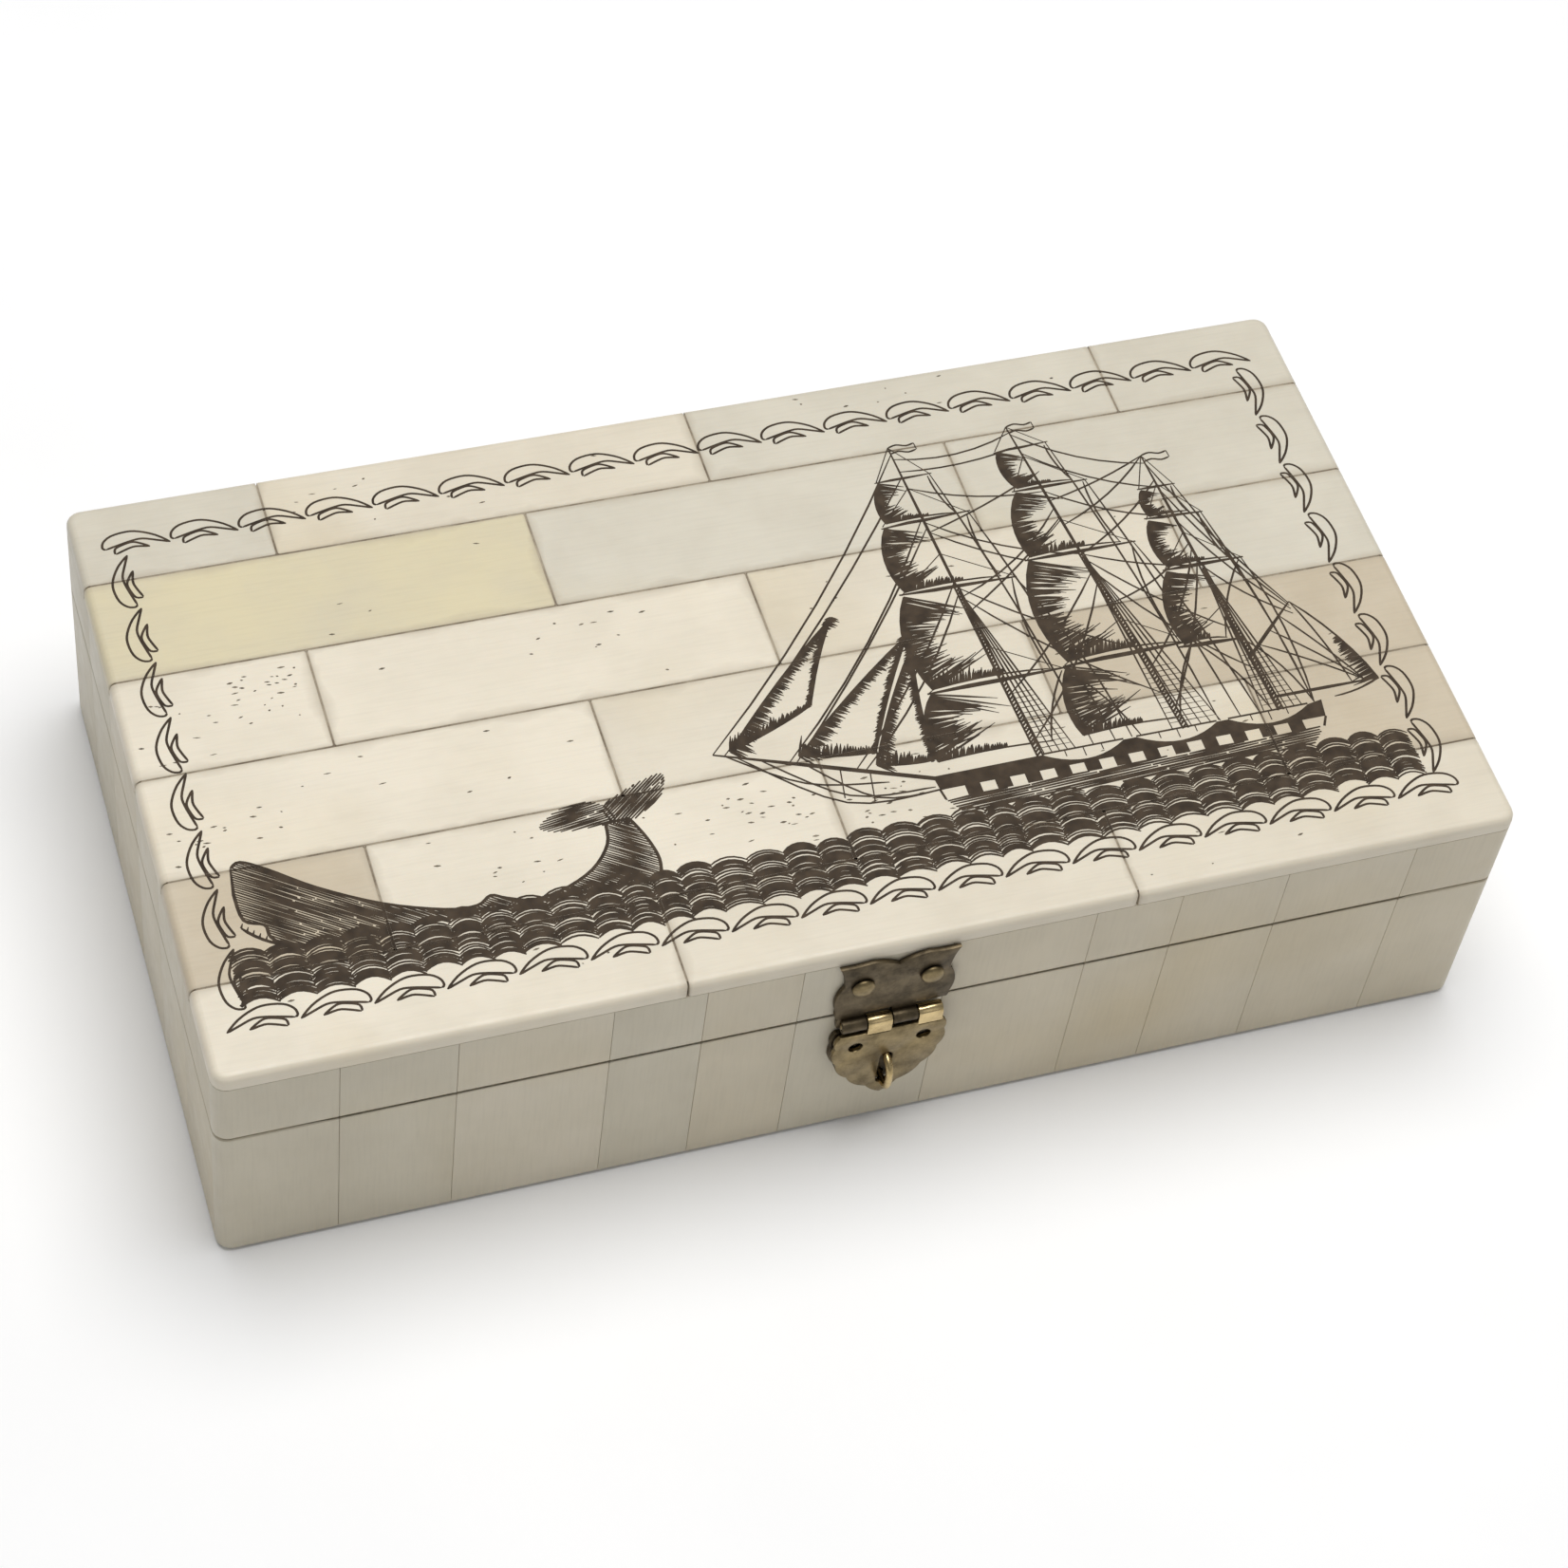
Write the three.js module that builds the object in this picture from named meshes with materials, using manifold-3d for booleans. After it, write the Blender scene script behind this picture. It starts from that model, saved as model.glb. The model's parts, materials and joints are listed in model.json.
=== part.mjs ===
// Keepsake box of thin wooden boards covered with bone tiles, with a hinged lid and a brass hasp.
// Millimetres, +Z up. The origin is on the table under the middle of the box, +X runs along its
// length, and the front, with the hasp, faces -Y.
import * as THREE from "three";
import { mergeVertices } from "three/addons/utils/BufferGeometryUtils.js";
import Module from "manifold-3d";

const wasm = await Module();
wasm.setup();

// Driving dimensions of the box
const BOX_LENGTH = 190.5;
const BOX_WIDTH = 101.6;
const BOX_HEIGHT = 44.5;
const LID_DEPTH = 15;
const SEAM_GAP = 0.4;
const BONE = 2.5; // thickness of a bone tile
const SIDE_BOARD = 6;
const FLAT_BOARD = 4; // thickness of the floor and of the lid's top board
const BONE_ABOVE_TABLE = 0.8;
const GLUE = 0.1; // glue line between two pieces
const CORNER_RADIUS = 2.2; // upright corners of the box
const TOP_EDGE_RADIUS = 1.2; // rim of the lid's top

// The lid's top tiles lie in courses along the length, listed from the back edge to the front edge.
const COURSE_WIDTHS = [14.8, 18.2, 17.8, 17.7, 18.0, 15.1];
const TOP_TILE_LENGTH = 66;
const FIRST_JOINT = [28.4, 65.6]; // from the left edge, for courses that alternate
const TOP_JOINT = 0.35; // width of the joint between two top tiles

// The side tiles stand upright. Their joints are fine grooves.
const LONG_SIDE_TILES = [17.15, 16.4, 21.7, 13.3, 13.9, 21.8, 21.5, 13.0, 16.3, 19.9, 15.55];
const SHORT_SIDE_TILES = [17.1, 15.2, 18.4, 14.9, 16.3, 19.7];
const GROOVE_HALF_WIDTH = 0.2;
const GROOVE_DEPTH = 0.35;

// Brass fittings
const SHEET = 0.8; // stamped brass sheet
const KNUCKLE_RADIUS = 1.1;
const BORE_RADIUS = 0.58;
const PIN_RADIUS = 0.45;
const AXIS_OUT = 1.3; // hinge axes stand this far out from the bone
const KNUCKLE_GAP = 0.15;
const NAIL = { head: 1.7, height: 0.9, shank: 0.55, length: 5.5 };
const SMALL_NAIL = { head: 1.2, height: 0.55, shank: 0.45, length: 5 };
const NAIL_CLEARANCE = 0.12;

// Hasp on the front. X is from the hasp's own middle and Z from the table.
const HASP_X = 1;
const HASP_AXIS_Z = 28.2;
const HASP_KNUCKLE = 3.8;
const HASP_NAIL = { x: 5.1, z: 36.9 };
const CATCH_NAIL = { x: 5.1, z: 23.5 };
const LEAF_BACK = 1.6; // gap between the bone and the back of the hanging leaf
const LEAF_SWING_GAP = 0.7; // room above the leaf's knuckles for their tabs when the leaf is swung up
const STAPLE = { z: 16.6, half: 3.1, reach: 5.1, wire: 0.55 };

// Two small butt hinges on the back
const HINGE_X = 58;
const HINGE_WIDTH = 18;
const HINGE_LEAF = 9; // height of one leaf above or below the axis
const HINGE_NAIL_X = 5.6;
const HINGE_NAIL_UP = 5.4; // from the axis

const seamZ = BOX_HEIGHT - LID_DEPTH;
const lidLow = seamZ + SEAM_GAP / 2;
const baseHigh = seamZ - SEAM_GAP / 2;
const tileUnder = BOX_HEIGHT - BONE;
const topBoardLow = tileUnder - GLUE - FLAT_BOARD;
const woodLength = BOX_LENGTH - 2 * (BONE + GLUE);
const woodWidth = BOX_WIDTH - 2 * (BONE + GLUE);

const bone = new THREE.MeshStandardMaterial({ color: 0xe6dcc8, roughness: 0.42, metalness: 0 });
const wood = new THREE.MeshStandardMaterial({ color: 0x5b3d27, roughness: 0.7, metalness: 0 });
const brass = new THREE.MeshStandardMaterial({ color: 0x9a8048, roughness: 0.4, metalness: 1 });
const brightBrass = new THREE.MeshStandardMaterial({ color: 0xc2a35c, roughness: 0.3, metalness: 1 });

// Solids and meshes

function solidFrom(geometry) {
  const plain = geometry.index ? geometry.toNonIndexed() : geometry.clone();
  plain.deleteAttribute("normal");
  plain.deleteAttribute("uv");
  const merged = mergeVertices(plain, 1e-4);
  return new wasm.Manifold(
    new wasm.Mesh({
      numProp: 3,
      vertProperties: merged.attributes.position.array,
      triVerts: new Uint32Array(merged.index.array),
    }),
  );
}

function meshFrom(name, solid, material) {
  const { numProp, numVert, vertProperties, triVerts } = solid.getMesh();
  const positions = new Float32Array(numVert * 3);
  for (let i = 0; i < numVert; i++) {
    positions.set(vertProperties.subarray(i * numProp, i * numProp + 3), i * 3);
  }
  const geometry = new THREE.BufferGeometry();
  geometry.setAttribute("position", new THREE.BufferAttribute(positions, 3));
  geometry.setIndex(new THREE.BufferAttribute(new Uint32Array(triVerts), 1));
  geometry.computeVertexNormals();
  const mesh = new THREE.Mesh(geometry, material);
  mesh.name = name;
  return mesh;
}

function block(low, high) {
  const size = high.map((value, i) => value - low[i]);
  const middle = high.map((value, i) => (value + low[i]) / 2);
  return solidFrom(new THREE.BoxGeometry(...size).translate(...middle));
}

// An outline drawn in plan, raised from one height to another.
function raised(shape, low, high) {
  const options = { depth: high - low, bevelEnabled: false, curveSegments: 6 };
  return solidFrom(new THREE.ExtrudeGeometry(shape, options).translate(0, 0, low));
}

// An outline drawn on an upright face, from one distance in front of that face to another.
function standing(shape, inner, outer) {
  const options = { depth: outer - inner, bevelEnabled: false, curveSegments: 5 };
  const geometry = new THREE.ExtrudeGeometry(shape, options);
  return solidFrom(geometry.rotateX(Math.PI / 2).translate(0, -inner, 0));
}

function rod(radius, fromX, toX, out, z) {
  const geometry = new THREE.CylinderGeometry(radius, radius, toX - fromX, 16);
  return solidFrom(geometry.rotateZ(Math.PI / 2).translate((fromX + toX) / 2, -out, z));
}

// Nails point into the box. A nail's own middle is where its head meets the brass sheet.

function nailSolid({ head, height, shank, length }) {
  const profile = new THREE.Path();
  profile.moveTo(0, -length);
  profile.lineTo(shank, -length + shank);
  profile.lineTo(shank, 0);
  profile.lineTo(head, 0);
  profile.bezierCurveTo(head, height * 0.7, head * 0.55, height, 0, height);
  const lathe = new THREE.LatheGeometry(profile.getPoints(5), 12);
  return solidFrom(lathe.rotateX(Math.PI));
}

function nailMesh(name, nail, x, z) {
  const mesh = meshFrom(name, nailSolid(nail), brightBrass);
  mesh.position.set(x, -(GLUE + SHEET + GLUE), z);
  return mesh;
}

function drilled(solid, nail, spots) {
  const depth = 2 * nail.length;
  const radius = nail.shank + NAIL_CLEARANCE;
  return spots.reduce((rest, { x, y = 0, z }) => {
    const hole = new THREE.CylinderGeometry(radius, radius, depth, 10).translate(x, y, z);
    return rest.subtract(solidFrom(hole));
  }, solid);
}

const onBothSides = ({ x, z }) => [-x, x].map((side) => ({ x: side, z }));

// Sides of the box, each drawn as the front is and then turned into place.

const SIDES = [
  { name: "front", turn: 0, reach: BOX_WIDTH / 2, long: true, tiles: LONG_SIDE_TILES },
  { name: "right", turn: Math.PI / 2, reach: BOX_LENGTH / 2, long: false, tiles: SHORT_SIDE_TILES },
  { name: "back", turn: Math.PI, reach: BOX_WIDTH / 2, long: true, tiles: LONG_SIDE_TILES },
  { name: "left", turn: -Math.PI / 2, reach: BOX_LENGTH / 2, long: false, tiles: SHORT_SIDE_TILES },
];

// The long sides' tiles wrap the upright corners, and the short sides' tiles fit between them.
function boneOutline({ reach, long, tiles }) {
  const half = long ? BOX_LENGTH / 2 : BOX_WIDTH / 2 - BONE - GLUE;
  const round = long ? CORNER_RADIUS : 0;
  const outer = -reach;
  const outline = new THREE.Shape();
  outline.moveTo(-half, outer + BONE);
  if (round) {
    outline.absarc(-half + round, outer + round, round, Math.PI, 1.5 * Math.PI);
  } else {
    outline.lineTo(-half, outer);
  }
  let joint = -(long ? BOX_LENGTH : BOX_WIDTH) / 2;
  for (const width of tiles.slice(0, -1)) {
    joint += width;
    outline.lineTo(joint - GROOVE_HALF_WIDTH, outer);
    outline.lineTo(joint, outer + GROOVE_DEPTH);
    outline.lineTo(joint + GROOVE_HALF_WIDTH, outer);
  }
  if (round) {
    outline.absarc(half - round, outer + round, round, 1.5 * Math.PI, 2 * Math.PI);
  } else {
    outline.lineTo(half, outer);
  }
  outline.lineTo(half, outer + BONE);
  return outline;
}

function sideBoard({ reach, long }, low, high) {
  const half = long ? woodLength / 2 : woodWidth / 2 - SIDE_BOARD - GLUE;
  const outer = -(reach - BONE - GLUE);
  return block([-half, outer, low], [half, outer + SIDE_BOARD, high]);
}

// Nails that enter each side, for the lid and for the base
function nailSpots(side, part) {
  if (side.name === "front") {
    const [nail, spot] = part === "lid" ? [NAIL, HASP_NAIL] : [SMALL_NAIL, CATCH_NAIL];
    return { nail, spots: onBothSides(spot).map(({ x, z }) => ({ x: x + HASP_X, z })) };
  }
  if (side.name === "back") {
    const z = seamZ + (part === "lid" ? HINGE_NAIL_UP : -HINGE_NAIL_UP);
    const spots = [-HINGE_X, HINGE_X].flatMap((middle) =>
      onBothSides({ x: HINGE_NAIL_X, z }).map((spot) => ({ x: spot.x + middle, z })),
    );
    return { nail: SMALL_NAIL, spots };
  }
  return { nail: NAIL, spots: [] };
}

function sidePieces(side, part, boneSpan, boardSpan) {
  const { nail, spots } = nailSpots(side, part);
  const placed = spots.map(({ x, z }) => ({ x, y: -side.reach, z }));
  const boneBand = drilled(raised(boneOutline(side), ...boneSpan), nail, placed);
  const board = drilled(sideBoard(side, ...boardSpan), nail, placed);
  const pieces = new THREE.Group();
  pieces.rotation.z = side.turn;
  pieces.add(meshFrom(`${part}_${side.name}_bone`, boneBand, bone));
  pieces.add(meshFrom(`${part}_${side.name}_board`, board, wood));
  return pieces;
}

function flatBoard(name, low) {
  const corner = [woodLength / 2, woodWidth / 2];
  const solid = block([-corner[0], -corner[1], low], [...corner, low + FLAT_BOARD]);
  return meshFrom(name, solid, wood);
}

// Top tiles: one rounded slab, cut along the joints.

function topSlab() {
  const [x, y, r] = [BOX_LENGTH / 2, BOX_WIDTH / 2, CORNER_RADIUS];
  const outline = new THREE.Shape();
  outline.absarc(x - r, y - r, r, 0, Math.PI / 2);
  outline.absarc(-x + r, y - r, r, Math.PI / 2, Math.PI);
  outline.absarc(-x + r, -y + r, r, Math.PI, 1.5 * Math.PI);
  outline.absarc(x - r, -y + r, r, 1.5 * Math.PI, 2 * Math.PI);
  const geometry = new THREE.ExtrudeGeometry(outline, {
    depth: BONE,
    bevelThickness: TOP_EDGE_RADIUS,
    bevelSize: TOP_EDGE_RADIUS,
    bevelOffset: -TOP_EDGE_RADIUS,
    bevelSegments: 3,
    curveSegments: 5,
  });
  return solidFrom(geometry.translate(0, 0, BOX_HEIGHT - BONE - TOP_EDGE_RADIUS));
}

function courseJoints(course) {
  const joints = [];
  for (let x = FIRST_JOINT[course % 2]; x < BOX_LENGTH; x += TOP_TILE_LENGTH) joints.push(x);
  return [0, ...joints, BOX_LENGTH].map((fromLeft) => fromLeft - BOX_LENGTH / 2);
}

function topTiles() {
  const tiles = new THREE.Group();
  const slab = topSlab();
  const gap = TOP_JOINT / 2;
  let back = BOX_WIDTH / 2;
  COURSE_WIDTHS.forEach((width, course) => {
    const joints = courseJoints(course);
    for (let i = 0; i + 1 < joints.length; i++) {
      const low = [joints[i] + gap, back - width + gap, tileUnder];
      const high = [joints[i + 1] - gap, back - gap, BOX_HEIGHT + BONE];
      // The outer tiles run out to the slab's own edge.
      if (i === 0) low[0] -= gap + BONE;
      if (i + 2 === joints.length) high[0] += gap + BONE;
      if (course === 0) high[1] += gap + BONE;
      if (course + 1 === COURSE_WIDTHS.length) low[1] -= gap + BONE;
      const tile = slab.intersect(block(low, high));
      tiles.add(meshFrom(`top_tile_${course + 1}_${i + 1}`, tile, bone));
    }
    back -= width;
  });
  return tiles;
}

// Stamped sheet with a symmetric edge. Each step is [x, z, bulge] down the right half, from the middle
// of the top to the middle of the bottom, and bulge is how far the stretch swells, as a share of its length.
function symmetricOutline(steps) {
  const rightSide = steps.slice(1).map(([x, z, bulge], i) => {
    const [fromX, fromZ] = steps[i];
    const control = [(x + fromX) / 2 - (z - fromZ) * bulge, (z + fromZ) / 2 + (x - fromX) * bulge];
    return { from: [fromX, fromZ], control, to: [x, z] };
  });
  const outline = new THREE.Shape();
  outline.moveTo(...rightSide[0].from);
  for (const { control, to } of rightSide) outline.quadraticCurveTo(...control, ...to);
  for (const { from, control } of rightSide.reverse()) {
    outline.quadraticCurveTo(-control[0], control[1], -from[0], from[1]);
  }
  return outline;
}

const HASP_PLATE_EDGE = [
  [0, 40.7],
  [4.2, 42.2, 0.12],
  [8.9, 42.0, -0.08],
  [7.8, 37.4, -0.1],
  [8.5, 31.4, 0.25],
  [8.0, 29.4, 0.3],
  [8.0, HASP_AXIS_Z - 0.9, 0.1],
  [0, HASP_AXIS_Z - 0.9, 0],
];

const LEAF_EDGE = [
  [0, 26.6],
  [7.7, 26.6, 0],
  [8.2, 23.9, 0.32],
  [7.7, 19.7, 0.28],
  [5.7, 15.8, 0.26],
  [2.4, 12.5, 0.24],
  [0, 10.2, 0.16],
];

const CATCH_PLATE_EDGE = [
  [0, 25.8],
  [7.9, 25.8, 0.02],
  [8.3, 22.6, 0.25],
  [7.4, 18.0, 0.25],
  [5.0, 14.4, 0.24],
  [0, 11.4, 0.16],
];

// The hasp's knuckles alternate, and the first belongs to the plate on the lid.
function haspKnuckles(owner) {
  const start = -2 * HASP_KNUCKLE;
  return [0, 1, 2, 3]
    .filter((i) => (i % 2 === 0) === (owner === "plate"))
    .map((i) => [start + i * HASP_KNUCKLE, start + (i + 1) * HASP_KNUCKLE])
    .map(([from, to]) => [from + KNUCKLE_GAP / 2, to - KNUCKLE_GAP / 2]);
}

const boredThrough = (solid, halfLength, z) =>
  solid.subtract(rod(BORE_RADIUS, -halfLength, halfLength, AXIS_OUT, z));

function haspPlate() {
  let solid = standing(symmetricOutline(HASP_PLATE_EDGE), GLUE, GLUE + SHEET);
  for (const [from, to] of haspKnuckles("leaf")) {
    const low = [from - KNUCKLE_GAP, -2 * AXIS_OUT, HASP_AXIS_Z - 2 * KNUCKLE_RADIUS];
    const high = [to + KNUCKLE_GAP, 0, HASP_AXIS_Z + KNUCKLE_RADIUS + LEAF_SWING_GAP];
    solid = solid.subtract(block(low, high));
  }
  for (const [from, to] of haspKnuckles("plate")) {
    solid = solid.add(rod(KNUCKLE_RADIUS, from, to, AXIS_OUT, HASP_AXIS_Z));
  }
  return drilled(boredThrough(solid, BOX_WIDTH, HASP_AXIS_Z), NAIL, onBothSides(HASP_NAIL));
}

function haspLeaf() {
  const outline = symmetricOutline(LEAF_EDGE);
  const slotHalf = STAPLE.wire + 0.4;
  const slot = new THREE.Path();
  slot.absarc(0, STAPLE.z + STAPLE.half - 0.2, slotHalf, 0, Math.PI);
  slot.absarc(0, STAPLE.z - STAPLE.half + 0.2, slotHalf, Math.PI, 2 * Math.PI);
  outline.holes.push(slot);
  for (const { x, z } of onBothSides(CATCH_NAIL)) {
    outline.holes.push(new THREE.Path().absarc(x, z, 1.05, 0, 2 * Math.PI));
  }
  let solid = standing(outline, LEAF_BACK, LEAF_BACK + SHEET);
  for (const [from, to] of haspKnuckles("leaf")) {
    const tab = [
      [from, -LEAF_BACK - SHEET, HASP_AXIS_Z - 2 * KNUCKLE_RADIUS],
      [to, -LEAF_BACK, HASP_AXIS_Z],
    ];
    solid = solid.add(block(...tab)).add(rod(KNUCKLE_RADIUS, from, to, AXIS_OUT, HASP_AXIS_Z));
  }
  return boredThrough(solid, BOX_WIDTH, HASP_AXIS_Z);
}

function catchPlate() {
  const outline = symmetricOutline(CATCH_PLATE_EDGE);
  for (const leg of [-1, 1]) {
    const hole = new THREE.Path();
    hole.absarc(0, STAPLE.z + leg * STAPLE.half, STAPLE.wire + NAIL_CLEARANCE, 0, 2 * Math.PI);
    outline.holes.push(hole);
  }
  return drilled(standing(outline, GLUE, GLUE + SHEET), SMALL_NAIL, onBothSides(CATCH_NAIL));
}

// A bent wire loop, upright, with both legs in the catch plate
function stapleSolid() {
  const { z, half, reach, wire } = STAPLE;
  const bend = [
    [GLUE, half],
    [reach * 0.45, half],
    [reach * 0.8, half * 0.72],
    [reach - wire, 0],
    [reach * 0.8, -half * 0.72],
    [reach * 0.45, -half],
    [GLUE, -half],
  ];
  const path = new THREE.CatmullRomCurve3(bend.map(([out, up]) => new THREE.Vector3(0, -out, z + up)));
  const section = new THREE.Shape().absarc(0, 0, wire, 0, 2 * Math.PI);
  const options = { extrudePath: path, steps: 24, curveSegments: 8 };
  return solidFrom(new THREE.ExtrudeGeometry(section, options));
}

function fitting(name, x, pieces) {
  const group = new THREE.Group();
  group.name = name;
  group.position.set(x, -BOX_WIDTH / 2, 0);
  group.add(...pieces);
  return group;
}

function haspFitting() {
  const reach = 2 * HASP_KNUCKLE;
  const nails = onBothSides(HASP_NAIL).map(({ x, z }, i) =>
    nailMesh(`hasp_nail_${i + 1}`, NAIL, x, z),
  );
  const catchNails = onBothSides(CATCH_NAIL).map(({ x, z }, i) =>
    nailMesh(`catch_nail_${i + 1}`, SMALL_NAIL, x, z),
  );
  return fitting("hasp", HASP_X, [
    meshFrom("hasp_plate", haspPlate(), brass),
    meshFrom("hasp_leaf", haspLeaf(), brass),
    meshFrom("hasp_pin", rod(PIN_RADIUS, -reach, reach, AXIS_OUT, HASP_AXIS_Z), brightBrass),
    meshFrom("catch_plate", catchPlate(), brass),
    meshFrom("catch_staple", stapleSolid(), brightBrass),
    ...nails,
    ...catchNails,
  ]);
}

// Butt hinge with three knuckles. The lid's leaf holds the middle one, and the pin is peened into the
// base's leaf.
function hingeLeaf(part) {
  const half = HINGE_WIDTH / 2;
  const up = part === "lid" ? 1 : -1;
  const clear = KNUCKLE_RADIUS + KNUCKLE_GAP;
  const edges = [seamZ + up * clear, seamZ + up * HINGE_LEAF];
  const third = HINGE_WIDTH / 3;
  const spans = [
    [-half, -third / 2 - KNUCKLE_GAP],
    [-third / 2, third / 2],
    [third / 2 + KNUCKLE_GAP, half],
  ].filter((_, i) => (i === 1) === (part === "lid"));
  let solid = block([-half, -GLUE - SHEET, Math.min(...edges)], [half, -GLUE, Math.max(...edges)]);
  for (const [from, to] of spans) {
    const tabEdges = [seamZ, edges[0] + up * SHEET];
    const low = [from, -GLUE - SHEET, Math.min(...tabEdges)];
    const tab = block(low, [to, -GLUE, Math.max(...tabEdges)]);
    solid = solid.add(tab).add(rod(KNUCKLE_RADIUS, from, to, AXIS_OUT, seamZ));
  }
  if (part === "lid") solid = boredThrough(solid, half, seamZ);
  else solid = solid.add(rod(PIN_RADIUS, -half, half, AXIS_OUT, seamZ));
  const spots = onBothSides({ x: HINGE_NAIL_X, z: seamZ + up * HINGE_NAIL_UP });
  return drilled(solid, SMALL_NAIL, spots);
}

function hingeFitting(number, x) {
  const pieces = ["lid", "base"].flatMap((part) => {
    const z = seamZ + (part === "lid" ? HINGE_NAIL_UP : -HINGE_NAIL_UP);
    const nails = onBothSides({ x: HINGE_NAIL_X, z }).map((spot, i) =>
      nailMesh(`hinge_${number}_${part}_nail_${i + 1}`, SMALL_NAIL, spot.x, spot.z),
    );
    return [meshFrom(`hinge_${number}_${part}_leaf`, hingeLeaf(part), brass), ...nails];
  });
  return fitting(`hinge_${number}`, x, pieces);
}

// The whole box, closed

const box = new THREE.Group();
box.add(flatBoard("base_floor_board", 0), flatBoard("lid_top_board", topBoardLow), topTiles());
for (const side of SIDES) {
  box.add(sidePieces(side, "base", [BONE_ABOVE_TABLE, baseHigh], [FLAT_BOARD + GLUE, baseHigh]));
  box.add(sidePieces(side, "lid", [lidLow, tileUnder - GLUE], [lidLow, topBoardLow - GLUE]));
}
box.add(haspFitting());
const back = new THREE.Group();
back.rotation.z = Math.PI;
back.add(hingeFitting(1, HINGE_X), hingeFitting(2, -HINGE_X));
box.add(back);

export default box;
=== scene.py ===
"""Looks of the bone-tiled keepsake box: engraved tiles, brass fittings, boards, light and camera.

Lengths are in millimetres until a mesh is made, and meshes are in metres. The picture on the lid
has its own coordinates: x from the lid's left edge and y from its front edge.
"""
import json
import math
import random

import bpy
from mathutils import Matrix, Vector
from mathutils.geometry import delaunay_2d_cdt


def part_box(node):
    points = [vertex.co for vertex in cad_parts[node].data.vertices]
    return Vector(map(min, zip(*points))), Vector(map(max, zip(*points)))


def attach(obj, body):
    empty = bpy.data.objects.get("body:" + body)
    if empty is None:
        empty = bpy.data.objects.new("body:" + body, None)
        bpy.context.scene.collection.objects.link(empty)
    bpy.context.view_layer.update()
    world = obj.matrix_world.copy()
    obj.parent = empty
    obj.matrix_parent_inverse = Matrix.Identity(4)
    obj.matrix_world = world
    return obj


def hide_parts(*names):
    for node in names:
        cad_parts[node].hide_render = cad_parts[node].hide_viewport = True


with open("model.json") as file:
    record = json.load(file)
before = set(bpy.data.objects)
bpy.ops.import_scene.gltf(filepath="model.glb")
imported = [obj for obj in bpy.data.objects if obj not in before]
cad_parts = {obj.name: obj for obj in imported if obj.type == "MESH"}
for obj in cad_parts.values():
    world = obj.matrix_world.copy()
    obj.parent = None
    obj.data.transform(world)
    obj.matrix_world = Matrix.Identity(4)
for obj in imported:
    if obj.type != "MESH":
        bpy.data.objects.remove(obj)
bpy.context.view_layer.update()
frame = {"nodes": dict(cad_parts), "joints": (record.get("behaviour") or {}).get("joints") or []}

MM = 0.001

# Camera, from a fit to the corners of the box in the photograph
CAMERA_PLACE = (-145.94, -325.06, 482.87)
CAMERA_AZIMUTH = -24.57
CAMERA_ELEVATION = 52.65
CAMERA_ROLL = 9.17
CAMERA_LENS = 89.45
CAMERA_SENSOR = 36

# Bone tiles
OUTER_EDGE = 1.2  # rounding of the lid's rim
INNER_EDGE = 0.12  # worn edge of a tile at a joint
BOX_CORNER = 2.2  # rounding of the box's upright corners
TILE_CORNER = 0.3
CORNER_STEPS = 5
GROOVE = 0.14  # depth of an engraved line
INK_TOP = 0.045  # the ink lies this far below the bone
INK_UNDER = 0.13
JOINT_INK_TOP = 0.004  # ink over a joint is level with the tiles
JOINT_CLOSE = 0.05  # tiles reach this far into the frame's joints
JOINT_DROP = 0.12  # the filler in a joint lies this far below the tiles
SIDE_GAP = 0.06  # joint between two side tiles
LONG_SIDE_TILES = (17.15, 16.4, 21.7, 13.3, 13.9, 21.8, 21.5, 13.0, 16.3, 19.9, 15.55)
SHORT_SIDE_TILES = (17.1, 15.2, 18.4, 14.9, 16.3, 19.7)
BONE = 2.5
STAIN_REACH = 2.6  # dirt beside a joint goes this far at most
STAIN_TONE = (0.40, 0.34, 0.25)
SUBSURFACE_RADIUS = (0.0012, 0.0008, 0.0005)
NO_JOINT = 50.0  # added to a tile's box where it ends at the rim
AT_RIM = 0.05  # a tile this near to the box's outline ends at the rim
LEAST_RADIUS = 0.04  # of a tile's corner where its worn edge takes up the rest
FILLER_INSET = 1.0  # the filler under the top tiles ends this far inside the rim
FILLER_FOOT_INSET = 0.15  # and this far where it is below the rounding
SIDE_JOINT_DROP = 0.18  # the filler between side tiles lies this far below them
SIDE_JOINT_INSET = 0.1  # and ends this far from their upper and lower edges
CORNER_GAP = 0.1  # between the end tiles of a short side and the long side's bone
MAP_LEAN = 0.4  # how far a wall leans out in the bake map, for each millimetre of depth
CUT_TOLERANCE = 1e-5

# Engraved lines
LINE = 0.38
FINE = 0.33
BOLD = 0.5


def node_box(name):
    low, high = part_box(name)
    return Vector(low) / MM, Vector(high) / MM


LID_LOW, LID_HIGH = node_box("lid_front_bone")
BOX_LENGTH = LID_HIGH.x - LID_LOW.x
BOX_HALF_WIDTH = -LID_LOW.y
TOP_Z = node_box("top_tile_3_2")[1].z


# Materials


def new_material(name):
    made = bpy.data.materials.new(name)
    made.use_nodes = True
    return made, made.node_tree, made.node_tree.nodes["Principled BSDF"]


def set_inputs(tree, node, inputs):
    """Links each input to an output, or gives it a constant."""
    for socket, value in inputs.items():
        if isinstance(value, bpy.types.NodeSocket):
            tree.links.new(value, node.inputs[socket])
        else:
            node.inputs[socket].default_value = value


def add_node(tree, kind, inputs=None, **settings):
    made = tree.nodes.new(kind)
    for key, value in settings.items():
        setattr(made, key, value)
    set_inputs(tree, made, inputs or {})
    return made


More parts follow.
